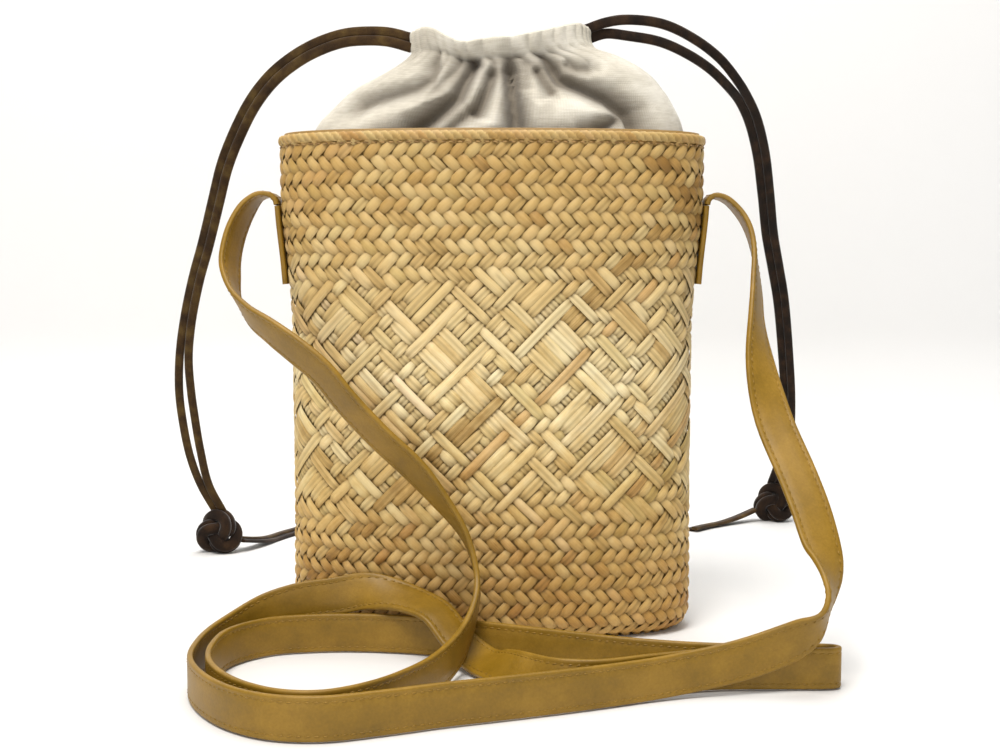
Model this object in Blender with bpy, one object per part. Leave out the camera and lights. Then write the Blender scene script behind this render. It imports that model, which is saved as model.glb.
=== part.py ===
# Raffia basket bag with a gathered linen collar, suede drawstrings and a flat leather shoulder strap.
# Metres, +Z up. The origin is the middle of the basket's underside, and the front faces -Y.

import math

import bmesh
import bpy
import numpy as np
from mathutils import Vector

MM = 0.001

# Clearances
TOUCHING_GAP = 0.3 * MM
SEWN_GAP = 0.5 * MM

# Basket
BASKET_HEIGHT = 197.5 * MM
BASKET_HALF_WIDTH = 80.0 * MM
BASKET_HALF_DEPTH = 31.0 * MM
BASKET_WALL = 2.2 * MM
BASKET_SQUARENESS = 2.45
BASE_ROUNDING = 9.0 * MM
HEM_HEIGHT = 6.0 * MM
HEM_PROUD = 0.7 * MM

# Linen collar
COLLAR_SEWN_BELOW_RIM = 20.0 * MM
COLLAR_RISE = 37.5 * MM
COLLAR_WALL = 1.3 * MM
NECK_LEFT = 32.5 * MM
NECK_RIGHT = 39.5 * MM
NECK_HALF_DEPTH = 11.0 * MM
FOLD_DEPTH = 5.5 * MM
PUCKER_DEPTH = 0.9 * MM
PUCKERS_AROUND = 18
FRILL_LIFT = 6.5 * MM
FRILL_STARTS_AT = 0.5
SIDE_FADE = 2.0
SEAM_ALLOWANCE = 7.0 * MM

# Shoulder strap
STRAP_WIDTH = 14.5 * MM
STRAP_THICKNESS = 2.0 * MM
TAB_LENGTH = 31.0 * MM
TAB_TOP = 170.4 * MM

# Drawstrings
LACE_WIDTH = 4.0 * MM
LACE_THICKNESS = 1.8 * MM
KNOT_LACE_DIAMETER = 6.0 * MM
KNOT_RADIUS = 6.4 * MM
KNOT_WOBBLE = 3.2 * MM
KNOT_LOBES = 3

# Mesh fineness
BASKET_SEGMENTS = 54
BASKET_ROWS = 9
BASE_TURN_DEGREES = (0.0, 30.0, 60.0, 90.0)
COLLAR_SEGMENTS = 96
TAB_STEPS = 3
KNOT_STEPS = 24
ROUTE_STEPS = 2
SHARP_EDGE_DEGREES = 50.0

# Basket outline, read from the base up. Columns: height as a share of BASKET_HEIGHT,
# half width as a share of BASKET_HALF_WIDTH, half depth as a share of BASKET_HALF_DEPTH.
BASKET_SECTIONS = [
    (0.000, 1.000, 0.940),
    (0.120, 1.003, 0.990),
    (0.320, 0.998, 1.050),
    (0.500, 1.000, 1.070),
    (0.630, 1.002, 1.060),
    (0.740, 1.020, 1.050),
    (0.860, 1.048, 1.060),
    (1.000, 1.052, 1.090),
]

# Linen collar above its sewn edge, read upwards. Columns: rise above the rim as a share of
# COLLAR_RISE, how far the left side, the right side and the depth have drawn in from the rim's
# inner outline (0) to the neck's (1), and how far the folds and the neck's puckers have formed.
COLLAR_SECTIONS = [
    (-0.25, 0.058, 0.031, 0.080, 0.25, 0.00),
    (0.02, 0.210, 0.126, 0.206, 0.70, 0.00),
    (0.18, 0.297, 0.181, 0.305, 1.00, 0.05),
    (0.34, 0.422, 0.257, 0.420, 1.00, 0.15),
    (0.50, 0.562, 0.351, 0.562, 0.95, 0.30),
    (0.64, 0.801, 0.493, 0.726, 0.80, 0.50),
    (0.76, 0.960, 0.718, 0.890, 0.60, 0.75),
    (0.84, 1.006, 0.962, 0.995, 0.45, 1.00),
    (0.92, 1.010, 1.014, 1.000, 0.35, 1.00),
    (1.00, 0.994, 1.000, 0.955, 0.25, 0.90),
]

# Valleys that fan out from the neck to the rim. Columns: side (-1 front, +1 back), place along the
# neck and along the rim as shares of the half width, half breadth as such a share, and depth as a
# share of FOLD_DEPTH.
COLLAR_FOLDS = [
    (-1, -0.70, -0.86, 0.10, 0.55),
    (-1, -0.33, -0.47, 0.13, 0.95),
    (-1, -0.10, -0.16, 0.08, 0.80),
    (-1, 0.13, 0.08, 0.07, 1.00),
    (-1, 0.45, 0.32, 0.08, 0.75),
    (-1, 0.52, 0.80, 0.10, 1.00),
    (1, -0.62, -0.84, 0.10, 0.90),
    (1, -0.30, -0.36, 0.09, 0.80),
    (1, 0.02, -0.06, 0.10, 1.00),
    (1, 0.30, 0.40, 0.12, 0.90),
    (1, 0.62, 0.78, 0.09, 0.80),
]

# Top edge of the frill. Columns: place along the neck, and lift as a share of FRILL_LIFT.
FRILL_EDGE = [
    (-1.00, 0.55),
    (-0.80, 0.75),
    (-0.45, -0.10),
    (-0.15, 0.05),
    (0.20, 0.25),
    (0.60, 0.70),
    (0.85, 1.00),
    (1.00, 0.80),
]

# Route of the shoulder strap's middle line, from the left tab to the right one, in metres.
# Columns: x, y, z, and the direction across the strap that ends up as its upper edge.
STRAP_ROUTE = [
    (-0.0855, 0.0000, 0.1709, 0.00, -1.00, 0.00),
    (-0.0860, 0.0000, 0.1728, 0.00, -1.00, 0.00),
    (-0.0882, -0.0002, 0.1748, 0.00, -1.00, 0.00),
    (-0.0925, -0.0007, 0.1745, -0.05, -1.00, 0.05),
    (-0.0971, -0.0020, 0.1700, -0.20, -0.96, 0.15),
    (-0.1010, -0.0050, 0.1621, -0.30, -0.93, 0.15),
    (-0.1031, -0.0090, 0.1525, -0.32, -0.93, 0.10),
    (-0.1029, -0.0130, 0.1443, -0.28, -0.95, 0.10),
    (-0.1001, -0.0180, 0.1350, 0.00, -0.98, 0.20),
    (-0.0933, -0.0250, 0.1274, 0.28, -0.90, 0.32),
    (-0.0846, -0.0310, 0.1219, 0.42, -0.80, 0.42),
    (-0.0743, -0.0360, 0.1150, 0.50, -0.72, 0.48),
    (-0.0638, -0.0390, 0.1066, 0.52, -0.70, 0.48),
    (-0.0551, -0.0400, 0.0961, 0.52, -0.70, 0.48),
    (-0.0427, -0.0415, 0.0830, 0.52, -0.70, 0.48),
    (-0.0287, -0.0430, 0.0700, 0.50, -0.72, 0.48),
    (-0.0197, -0.0435, 0.0593, 0.40, -0.84, 0.36),
    (-0.0112, -0.0438, 0.0475, 0.22, -0.94, 0.22),
    (-0.0070, -0.0450, 0.0380, 0.08, -0.98, 0.16),
    (-0.0052, -0.0490, 0.0285, 0.00, -0.94, 0.34),
    (-0.0062, -0.0570, 0.0202, 0.00, -0.75, 0.66),
    (-0.0104, -0.0715, 0.0120, 0.00, -0.35, 0.94),
    (-0.0185, -0.0930, 0.0080, 0.00, -0.05, 1.00),
    (-0.0280, -0.1120, 0.0078, 0.00, 0.00, 1.00),
    (-0.0390, -0.1255, 0.0078, 0.00, 0.00, 1.00),
    (-0.0520, -0.1335, 0.0078, 0.00, 0.00, 1.00),
    (-0.0650, -0.1330, 0.0078, 0.00, 0.00, 1.00),
    (-0.0775, -0.1255, 0.0078, 0.00, 0.00, 1.00),
    (-0.0880, -0.1135, 0.0078, 0.00, 0.00, 1.00),
    (-0.0955, -0.0980, 0.0078, 0.00, 0.00, 1.00),
    (-0.0980, -0.0800, 0.0078, 0.00, 0.00, 1.00),
    (-0.0955, -0.0610, 0.0078, 0.00, 0.00, 1.00),
    (-0.0840, -0.0475, 0.0078, 0.00, 0.00, 1.00),
    (-0.0690, -0.0428, 0.0078, 0.00, 0.00, 1.00),
    (-0.0490, -0.0418, 0.0078, 0.00, 0.00, 1.00),
    (-0.0270, -0.0455, 0.0078, 0.00, 0.00, 1.00),
    (-0.0040, -0.0525, 0.0078, 0.00, 0.00, 1.00),
    (0.0220, -0.0635, 0.0078, 0.00, 0.00, 1.00),
    (0.0520, -0.0755, 0.0078, 0.00, 0.00, 1.00),
    (0.0800, -0.0817, 0.0078, 0.00, 0.00, 1.00),
    (0.1030, -0.0825, 0.0078, 0.00, 0.00, 1.00),
    (0.1175, -0.0826, 0.0078, 0.00, 0.00, 1.00),
    (0.1203, -0.0836, 0.0078, 0.00, 0.00, 1.00),
    (0.1211, -0.0850, 0.0078, 0.00, 0.00, 1.00),
    (0.1203, -0.0864, 0.0078, 0.00, 0.00, 1.00),
    (0.1175, -0.0874, 0.0078, 0.00, 0.00, 1.00),
    (0.1000, -0.0876, 0.0078, 0.00, 0.00, 1.00),
    (0.0760, -0.0886, 0.0078, 0.00, 0.00, 1.00),
    (0.0540, -0.0950, 0.0078, 0.00, 0.00, 1.00),
    (0.0370, -0.1010, 0.0078, 0.00, 0.00, 1.00),
    (0.0220, -0.1000, 0.0077, 0.05, 0.20, 0.97),
    (0.0110, -0.0900, 0.0070, 0.25, 0.40, 0.87),
    (0.0030, -0.0780, 0.0060, 0.60, 0.50, 0.60),
    (-0.0040, -0.0660, 0.0046, 0.78, 0.50, 0.30),
    (-0.0124, -0.0578, 0.0098, 0.72, 0.62, 0.12),
    (-0.0204, -0.0507, 0.0178, 0.62, 0.75, 0.22),
    (-0.0290, -0.0443, 0.0205, 0.45, 0.80, 0.35),
    (-0.0390, -0.0395, 0.0222, 0.30, 0.70, 0.60),
    (-0.0490, -0.0358, 0.0222, 0.15, 0.35, 0.90),
    (-0.0600, -0.0345, 0.0200, 0.05, 0.15, 0.98),
    (-0.0720, -0.0350, 0.0185, 0.00, 0.05, 1.00),
    (-0.0850, -0.0375, 0.0150, 0.00, 0.08, 1.00),
    (-0.0960, -0.0460, 0.0105, 0.00, 0.00, 1.00),
    (-0.1025, -0.0600, 0.0082, 0.00, 0.00, 1.00),
    (-0.1040, -0.0790, 0.0078, 0.00, 0.00, 1.00),
    (-0.1020, -0.0970, 0.0078, 0.00, 0.00, 1.00),
    (-0.0945, -0.1140, 0.0078, 0.00, 0.00, 1.00),
    (-0.0830, -0.1285, 0.0078, 0.00, 0.00, 1.00),
    (-0.0690, -0.1375, 0.0078, 0.00, 0.00, 1.00),
    (-0.0520, -0.1395, 0.0078, 0.00, 0.00, 1.00),
    (-0.0330, -0.1335, 0.0078, 0.00, 0.00, 1.00),
    (-0.0150, -0.1262, 0.0078, 0.00, 0.00, 1.00),
    (0.0030, -0.1200, 0.0078, 0.00, 0.00, 1.00),
    (0.0200, -0.1140, 0.0078, 0.00, 0.00, 1.00),
    (0.0370, -0.1075, 0.0078, 0.00, 0.00, 1.00),
    (0.0540, -0.1005, 0.0080, 0.00, 0.00, 1.00),
    (0.0680, -0.0960, 0.0092, 0.00, 0.00, 1.00),
    (0.0800, -0.0940, 0.0112, 0.00, 0.00, 1.00),
    (0.0890, -0.0928, 0.0133, 0.00, 0.00, 1.00),
    (0.0970, -0.0924, 0.0160, 0.00, -0.06, 1.00),
    (0.1060, -0.0922, 0.0200, 0.00, -0.25, 0.96),
    (0.1130, -0.0918, 0.0252, -0.10, -0.65, 0.72),
    (0.1162, -0.0898, 0.0315, -0.28, -0.90, 0.33),
    (0.1174, -0.0862, 0.0374, -0.50, -0.85, 0.15),
    (0.1176, -0.0812, 0.0434, -0.75, -0.62, 0.10),
    (0.1165, -0.0755, 0.0495, -0.93, -0.25, 0.00),
    (0.1143, -0.0680, 0.0602, -0.98, -0.12, -0.10),
    (0.1110, -0.0600, 0.0715, -1.00, -0.08, -0.15),
    (0.1050, -0.0470, 0.0897, -1.00, -0.15, -0.15),
    (0.1023, -0.0360, 0.1075, -0.85, -0.50, 0.10),
    (0.1023, -0.0250, 0.1259, -0.50, -0.85, 0.20),
    (0.1034, -0.0170, 0.1392, -0.35, -0.92, 0.15),
    (0.1035, -0.0100, 0.1529, -0.15, -0.98, 0.10),
    (0.1017, -0.0060, 0.1616, -0.05, -1.00, 0.05),
    (0.0982, -0.0030, 0.1682, 0.00, -1.00, 0.00),
    (0.0932, -0.0010, 0.1732, 0.00, -1.00, 0.00),
    (0.0886, -0.0002, 0.1745, 0.00, -1.00, 0.00),
    (0.0861, 0.0000, 0.1728, 0.00, -1.00, 0.00),
    (0.0855, 0.0000, 0.1709, 0.00, -1.00, 0.00),
]

# Routes of the two drawstring pairs, from the neck to the knot, in metres. Columns: x, y, z of the
# pair's middle, the direction across the pair, and how far each strand lies from that middle.
LEFT_PAIR_ROUTE = [
    (-0.0345, 0.0000, 0.2355, 0.00, 0.00, 1.00, 0.0022),
    (-0.0406, 0.0020, 0.2374, 0.02, 0.00, 1.00, 0.0022),
    (-0.0489, 0.0050, 0.2384, 0.00, 0.00, 1.00, 0.0022),
    (-0.0593, 0.0090, 0.2383, -0.05, 0.00, 1.00, 0.0022),
    (-0.0701, 0.0140, 0.2359, -0.30, 0.00, 0.95, 0.0022),
    (-0.0804, 0.0200, 0.2319, -0.45, 0.00, 0.90, 0.0022),
    (-0.0914, 0.0270, 0.2252, -0.60, 0.00, 0.80, 0.0022),
    (-0.1013, 0.0350, 0.2158, -0.75, 0.00, 0.65, 0.0022),
    (-0.1100, 0.0440, 0.2037, -0.85, 0.00, 0.50, 0.0022),
    (-0.1175, 0.0530, 0.1906, -0.90, 0.00, 0.40, 0.0022),
    (-0.1242, 0.0640, 0.1745, -0.93, 0.00, 0.35, 0.0022),
    (-0.1314, 0.0760, 0.1569, -0.93, 0.00, 0.35, 0.0022),
    (-0.1388, 0.0870, 0.1398, -0.94, 0.00, 0.33, 0.0022),
    (-0.1452, 0.0970, 0.1207, -0.97, 0.00, 0.25, 0.0023),
    (-0.1495, 0.1060, 0.1025, -1.00, 0.00, 0.15, 0.0025),
    (-0.1510, 0.1130, 0.0858, -1.00, 0.00, 0.00, 0.0029),
    (-0.1509, 0.1180, 0.0729, -1.00, 0.00, -0.05, 0.0031),
    (-0.1494, 0.1250, 0.0530, -1.00, 0.00, -0.10, 0.0029),
    (-0.1463, 0.1315, 0.0360, -1.00, 0.00, -0.10, 0.0024),
    (-0.1415, 0.1368, 0.0238, -1.00, 0.00, -0.10, 0.0022),
]

RIGHT_PAIR_ROUTE = [
    (0.0407, 0.0000, 0.2392, 0.00, 0.00, 1.00, 0.0022),
    (0.0455, 0.0020, 0.2410, 0.00, 0.00, 1.00, 0.0024),
    (0.0563, 0.0080, 0.2420, 0.00, 0.00, 1.00, 0.0033),
    (0.0692, 0.0150, 0.2412, 0.15, 0.00, 1.00, 0.0036),
    (0.0820, 0.0240, 0.2374, 0.35, 0.00, 0.90, 0.0034),
    (0.0942, 0.0350, 0.2317, 0.55, 0.00, 0.80, 0.0030),
    (0.1042, 0.0460, 0.2243, 0.70, 0.00, 0.70, 0.0025),
    (0.1102, 0.0550, 0.2190, 0.80, 0.00, 0.60, 0.0022),
    (0.1161, 0.0650, 0.2114, 0.88, 0.00, 0.45, 0.0022),
    (0.1228, 0.0800, 0.1980, 0.93, 0.00, 0.35, 0.0022),
    (0.1289, 0.0980, 0.1802, 0.96, 0.00, 0.28, 0.0022),
    (0.1347, 0.1160, 0.1613, 0.96, 0.00, 0.28, 0.0022),
    (0.1410, 0.1310, 0.1443, 0.96, 0.00, 0.28, 0.0022),
    (0.1462, 0.1430, 0.1290, 0.97, 0.00, 0.25, 0.0022),
    (0.1542, 0.1660, 0.0967, 0.99, 0.00, 0.15, 0.0022),
    (0.1586, 0.1800, 0.0740, 1.00, 0.00, 0.10, 0.0022),
    (0.1615, 0.1950, 0.0503, 1.00, 0.00, 0.00, 0.0022),
    (0.1617, 0.2100, 0.0340, 1.00, 0.00, -0.05, 0.0022),
    (0.1608, 0.2200, 0.0238, 1.00, 0.00, -0.05, 0.0022),
]

# Routes of the laces' ends, from the knot to the cut tip, with the same columns.
LEFT_TAIL_ROUTE = [
    (-0.1292, 0.1398, 0.0062, 0.80, -0.60, 0.00, 0.0022),
    (-0.1232, 0.1510, 0.0036, 0.90, -0.42, 0.00, 0.0022),
    (-0.1184, 0.1640, 0.0016, 0.92, -0.40, 0.00, 0.0022),
    (-0.1126, 0.1770, 0.0014, 0.90, -0.44, 0.00, 0.0022),
    (-0.1060, 0.1890, 0.0014, 0.87, -0.48, 0.00, 0.0022),
]

RIGHT_TAIL_ROUTE = [
    (0.1486, 0.2209, 0.0062, -0.50, 0.86, 0.00, 0.0022),
    (0.1390, 0.2152, 0.0034, -0.55, 0.83, 0.00, 0.0022),
    (0.1285, 0.2080, 0.0016, -0.58, 0.81, 0.00, 0.0022),
    (0.1180, 0.1995, 0.0014, -0.64, 0.77, 0.00, 0.0022),
    (0.1090, 0.1900, 0.0014, -0.69, 0.72, 0.00, 0.0022),
]

# Middles of the two knots on the surface, in metres.
LEFT_KNOT_PLACE = (-0.1405, 0.1370)
RIGHT_KNOT_PLACE = (0.1605, 0.2210)


def clear_scene():
    for thing in list(bpy.data.objects):
        bpy.data.objects.remove(thing, do_unlink=True)


def make_material(name, colour, roughness):
    """A plain finish. The colour is a linear red, green, blue."""
    material = bpy.data.materials.new(name)
    material.use_nodes = True
    shader = material.node_tree.nodes["Principled BSDF"]
    shader.inputs["Base Color"].default_value = (*colour, 1.0)
    shader.inputs["Roughness"].default_value = roughness
    shader.inputs["Metallic"].default_value = 0.0
    material.diffuse_color = (*colour, 1.0)
    return material


def make_object(name, mesh, material):
    thing = bpy.data.objects.new(name, mesh)
    bpy.context.scene.collection.objects.link(thing)
    mesh.materials.append(material)
    return thing


def smooth_through(rows, steps):
    """Rows on one smooth curve through every given row, with some steps to each span.

    It is a centripetal curve: the spacing follows the square root of each span's length,
    which keeps it from overshooting where long and short spans meet.
    """
    given = np.array(rows)
    before = 2.0 * given[0] - given[1]
    after = 2.0 * given[-1] - given[-2]
    points = np.vstack([before, given, after])
    spans = np.linalg.norm(np.diff(points[:, :3], axis=0), axis=1)
    knots = np.concatenate([[0.0], np.cumsum(np.sqrt(spans))])
    result = []
    for i in range(1, len(points) - 2):
        t0, t1, t2, t3 = knots[i - 1:i + 3]
        p0, p1, p2, p3 = points[i - 1:i + 3]
        for step in range(steps):
            t = t1 + (t2 - t1) * step / steps
            a1 = (t1 - t) / (t1 - t0) * p0 + (t - t0) / (t1 - t0) * p1
            a2 = (t2 - t) / (t2 - t1) * p1 + (t - t1) / (t2 - t1) * p2
            a3 = (t3 - t) / (t3 - t2) * p2 + (t - t2) / (t3 - t2) * p3
            b1 = (t2 - t) / (t2 - t0) * a1 + (t - t0) / (t2 - t0) * a2
            b2 = (t3 - t) / (t3 - t1) * a2 + (t - t1) / (t3 - t1) * a3
            result.append((t2 - t) / (t2 - t1) * b1 + (t - t1) / (t2 - t1) * b2)
    result.append(given[-1])
    return np.array(result)


def smooth_value(table, column, at):
    """A column of a table at a place along its first column, on a smooth line through the rows."""
    places = [row[0] for row in table]
    at = min(max(at, places[0]), places[-1])
    i = max(k for k, place in enumerate(places[:-1]) if place <= at)
    values = [row[column] for row in table]

    def slope(k):
        low = max(k - 1, 0)
        high = min(k + 1, len(table) - 1)
        return (values[high] - values[low]) / (places[high] - places[low])

    span = places[i + 1] - places[i]
    t = (at - places[i]) / span
    start = (2.0 * t ** 3 - 3.0 * t ** 2 + 1.0) * values[i] + (t ** 3 - 2.0 * t ** 2 + t) * span * slope(i)
    end = (3.0 * t ** 2 - 2.0 * t ** 3) * values[i + 1] + (t ** 3 - t ** 2) * span * slope(i + 1)
    return start + end


def rounded_power(value, squareness):
    return math.copysign(abs(value) ** (2.0 / squareness), value)


def basket_reach(height):
    """Half width and half depth of the basket's outside at a height."""
    share = height / BASKET_HEIGHT
    half_width = BASKET_HALF_WIDTH * smooth_value(BASKET_SECTIONS, 1, share)
    half_depth = BASKET_HALF_DEPTH * smooth_value(BASKET_SECTIONS, 2, share)
    return half_width, half_depth


def inner_reach(height):
    """Half width and half depth just clear of the basket's inner wall at a height."""
    half_width, half_depth = basket_reach(height)
    inset = BASKET_WALL + SEWN_GAP
    return half_width - inset, half_depth - inset


def oval_ring(half_width, half_depth, height, segments):
    """Points round a soft-cornered oval."""
    points = []
    for k in range(segments):
        angle = 2.0 * math.pi * k / segments
        x = half_width * rounded_power(math.cos(angle), BASKET_SQUARENESS)
        y = half_depth * rounded_power(math.sin(angle), BASKET_SQUARENESS)
        points.append(Vector((x, y, height)))
    return points


def add_ring(bm, points, filled=False):
    """A closed ring of edges through the points, with a face in it if it is filled."""
    made = bmesh.ops.create_circle(bm, cap_ends=filled, segments=len(points), radius=1.0)
    for vertex, point in zip(made["verts"], points):
        vertex.co = point
    edges = [edge for edge in bm.edges if edge.verts[0] in made["verts"] and edge.verts[1] in made["verts"]]
    return edges


def bridge_rings(bm, rings):
    for lower, upper in zip(rings[:-1], rings[1:]):
        bmesh.ops.bridge_loops(bm, edges=lower + upper)


def finish_mesh(bm, name):
    bmesh.ops.recalc_face_normals(bm, faces=bm.faces)
    outermost = max(bm.faces, key=lambda face: face.calc_center_median().x)
    if outermost.normal.x < 0.0:
        bmesh.ops.reverse_faces(bm, faces=bm.faces)
    mesh = bpy.data.meshes.new(name)
    bm.to_mesh(mesh)
    bm.free()
    mesh.shade_smooth()
    mesh.set_sharp_from_angle(angle=math.radians(SHARP_EDGE_DEGREES))
    return mesh


def add_wall(thing, thickness):
    """Thickens an open shell inwards."""
    wall = thing.modifiers.new("wall", "SOLIDIFY")
    wall.thickness = thickness
    wall.offset = -1.0
    wall.use_even_offset = False
    wall.use_rim = True
    return wall


def basket_levels():
    """Heights, insets and swellings of the basket's rings, from the underside to the folded hem."""
    levels = []
    for degrees in BASE_TURN_DEGREES:
        turn = math.radians(degrees)
        inset = BASE_ROUNDING * (1.0 - math.sin(turn))
        levels.append((BASE_ROUNDING * (1.0 - math.cos(turn)), -inset))
    plain_top = BASKET_HEIGHT - HEM_HEIGHT
    for k in range(1, BASKET_ROWS + 1):
        levels.append((BASE_ROUNDING + (plain_top - BASE_ROUNDING) * k / BASKET_ROWS, 0.0))
    levels.append((plain_top + HEM_PROUD, HEM_PROUD))
    levels.append((BASKET_HEIGHT - HEM_PROUD, HEM_PROUD))
    levels.append((BASKET_HEIGHT, 0.0))
    return levels


def build_basket(material):
    bm = bmesh.new()
    rings = []
    for height, swell in basket_levels():
        half_width, half_depth = basket_reach(height)
        points = oval_ring(half_width + swell, half_depth + swell, height, BASKET_SEGMENTS)
        rings.append(add_ring(bm, points, filled=not rings))
    bridge_rings(bm, rings)
    basket = make_object("basket_body", finish_mesh(bm, "basket_body"), material)
    add_wall(basket, BASKET_WALL)
    return basket


def fold_inset(side, place, spread):
    """How deep the collar's valleys are at a place along one side. Spread runs 0 at the neck, 1 at the rim."""
    deepest = 0.0
    for fold_side, at_neck, at_rim, breadth, depth in COLLAR_FOLDS:
        if fold_side != side:
            continue
        middle = at_neck + (at_rim - at_neck) * spread
        distance = (place - middle) / breadth
        deepest = max(deepest, depth * math.exp(-distance * distance))
    return deepest * FOLD_DEPTH


def drawn_in(rim_reach, neck_reach, share):
    return rim_reach + (neck_reach - rim_reach) * share


def collar_ring(section):
    """Points round the linen collar at one row of its table."""
    rise, left_share, right_share, depth_share, fold, pucker = section
    rim_width, rim_depth = inner_reach(BASKET_HEIGHT)
    left = drawn_in(rim_width, NECK_LEFT, left_share)
    right = drawn_in(rim_width, NECK_RIGHT, right_share)
    middle = 0.5 * (right - left)
    half_width = 0.5 * (right + left)
    half_depth = drawn_in(rim_depth, NECK_HALF_DEPTH, depth_share)
    spread = min(max(1.0 - rise, 0.0), 1.0)
    points = []
    for k in range(COLLAR_SEGMENTS):
        angle = 2.0 * math.pi * k / COLLAR_SEGMENTS
        cosine = math.cos(angle)
        sine = math.sin(angle)
        x = rounded_power(cosine, BASKET_SQUARENESS)
        y = rounded_power(sine, BASKET_SQUARENESS)
        side = -1 if sine < 0.0 else 1
        towards_side = min(abs(y) * SIDE_FADE, 1.0)
        inset = fold * fold_inset(side, x, spread) * towards_side
        inset += pucker * PUCKER_DEPTH * (1.0 - math.cos(PUCKERS_AROUND * angle))
        lifted = max(rise - FRILL_STARTS_AT, 0.0) / (1.0 - FRILL_STARTS_AT)
        lift = FRILL_LIFT * smooth_value(FRILL_EDGE, 1, x) * lifted
        height = BASKET_HEIGHT + COLLAR_RISE * rise + lift
        reach = half_width - inset * abs(cosine)
        points.append(Vector((middle + reach * x, (half_depth - inset) * y, height)))
    return points


def sewn_ring(height):
    """Points round the collar's sewn edge, just clear of the basket's inner wall."""
    half_width, half_depth = inner_reach(height)
    return oval_ring(half_width, half_depth, height, COLLAR_SEGMENTS)


def build_collar(material):
    bm = bmesh.new()
    sewn_edge = BASKET_HEIGHT - COLLAR_SEWN_BELOW_RIM
    rings = []
    for height in (sewn_edge, sewn_edge + SEAM_ALLOWANCE):
        rings.append(add_ring(bm, sewn_ring(height)))
    for section in COLLAR_SECTIONS:
        rings.append(add_ring(bm, collar_ring(section)))
    bridge_rings(bm, rings)
    collar = make_object("linen_pouch", finish_mesh(bm, "linen_pouch"), material)
    add_wall(collar, COLLAR_WALL)
    return collar


def build_ribbon(name, rows, width, thickness, material):
    """A flat strip swept along rows of middle point and across direction."""
    bm = bmesh.new()
    half_width = 0.5 * width
    half_thickness = 0.5 * thickness
    middles = rows[:, :3]
    along = np.gradient(middles, axis=0)
    corners = []
    for middle, direction, across in zip(middles, along, rows[:, 3:6]):
        forward = Vector(direction).normalized()
        side = Vector(across)
        side = (side - side.dot(forward) * forward).normalized()
        face = forward.cross(side)
        centre = Vector(middle)
        corners.append([
            centre - half_width * side - half_thickness * face,
            centre + half_width * side - half_thickness * face,
            centre + half_width * side + half_thickness * face,
            centre - half_width * side + half_thickness * face,
        ])
    rings = [add_ring(bm, station) for station in corners]
    bridge_rings(bm, rings)
    bmesh.ops.holes_fill(bm, edges=rings[0] + rings[-1], sides=4)
    return make_object(name, finish_mesh(bm, name), material)


def build_tab(name, side, material):
    """One sewn end of the strap, flat against the basket's side. Side is -1 left, +1 right."""
    rows = []
    for k in range(TAB_STEPS + 1):
        height = TAB_TOP - TAB_LENGTH * (1.0 - k / TAB_STEPS)
        half_width, _ = basket_reach(height)
        reach = half_width + TOUCHING_GAP + 0.5 * STRAP_THICKNESS
        rows.append((side * reach, 0.0, height, 0.0, -1.0, 0.0))
    return build_ribbon(name, np.array(rows), STRAP_WIDTH, STRAP_THICKNESS, material)


def strand_rows(route, side):
    """One strand of a drawstring pair, moved to its side of the pair's middle line."""
    rows = smooth_through(route, ROUTE_STEPS)
    along = np.gradient(rows[:, :3], axis=0)
    along /= np.linalg.norm(along, axis=1)[:, None]
    across = rows[:, 3:6] - np.sum(rows[:, 3:6] * along, axis=1)[:, None] * along
    across /= np.linalg.norm(across, axis=1)[:, None]
    moved = rows[:, :6].copy()
    moved[:, :3] += side * across * rows[:, 6:7]
    return moved


def build_pair(names, route, material):
    for name, side in zip(names, (1.0, -1.0)):
        build_ribbon(name, strand_rows(route, side), LACE_WIDTH, LACE_THICKNESS, material)


def build_knot(name, place, material):
    """An overhand knot: a three-lobed tube that stands on two of its lobes."""
    points = []
    for k in range(KNOT_STEPS):
        angle = 2.0 * math.pi * k / KNOT_STEPS
        radius = KNOT_RADIUS + KNOT_WOBBLE * math.cos(KNOT_LOBES * angle)
        heading = 2.0 * angle + math.radians(90.0)
        depth = KNOT_WOBBLE * math.sin(KNOT_LOBES * angle)
        points.append((radius * math.cos(heading), depth, radius * math.sin(heading)))
    lowest = min(point[2] for point in points)
    lift = TOUCHING_GAP + 0.5 * KNOT_LACE_DIAMETER - lowest
    curve = bpy.data.curves.new(name, "CURVE")
    curve.dimensions = "3D"
    curve.bevel_depth = 0.5 * KNOT_LACE_DIAMETER
    curve.bevel_resolution = 2
    spline = curve.splines.new("POLY")
    spline.points.add(KNOT_STEPS - 1)
    for point, (x, y, z) in zip(spline.points, points):
        point.co = (place[0] + x, place[1] + y, lift + z, 1.0)
    spline.use_cyclic_u = True
    return make_object(name, curve, material)


def main():
    clear_scene()
    raffia = make_material("plaited_raffia", (0.565, 0.402, 0.182), 0.62)
    linen = make_material("washed_linen", (0.584, 0.533, 0.451), 0.9)
    leather = make_material("khaki_leather", (0.323, 0.195, 0.033), 0.5)
    suede = make_material("brown_suede", (0.044, 0.021, 0.009), 0.7)

    build_basket(raffia)
    build_collar(linen)
    build_tab("strap_tab_left", -1.0, leather)
    build_tab("strap_tab_right", 1.0, leather)
    build_ribbon("strap", smooth_through(STRAP_ROUTE, ROUTE_STEPS), STRAP_WIDTH, STRAP_THICKNESS, leather)
    build_pair(("left_lace_a", "left_lace_b"), LEFT_PAIR_ROUTE, suede)
    build_pair(("right_lace_a", "right_lace_b"), RIGHT_PAIR_ROUTE, suede)
    build_pair(("left_tail_a", "left_tail_b"), LEFT_TAIL_ROUTE, suede)
    build_pair(("right_tail_a", "right_tail_b"), RIGHT_TAIL_ROUTE, suede)
    build_knot("left_knot", LEFT_KNOT_PLACE, suede)
    build_knot("right_knot", RIGHT_KNOT_PLACE, suede)


main()
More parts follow.
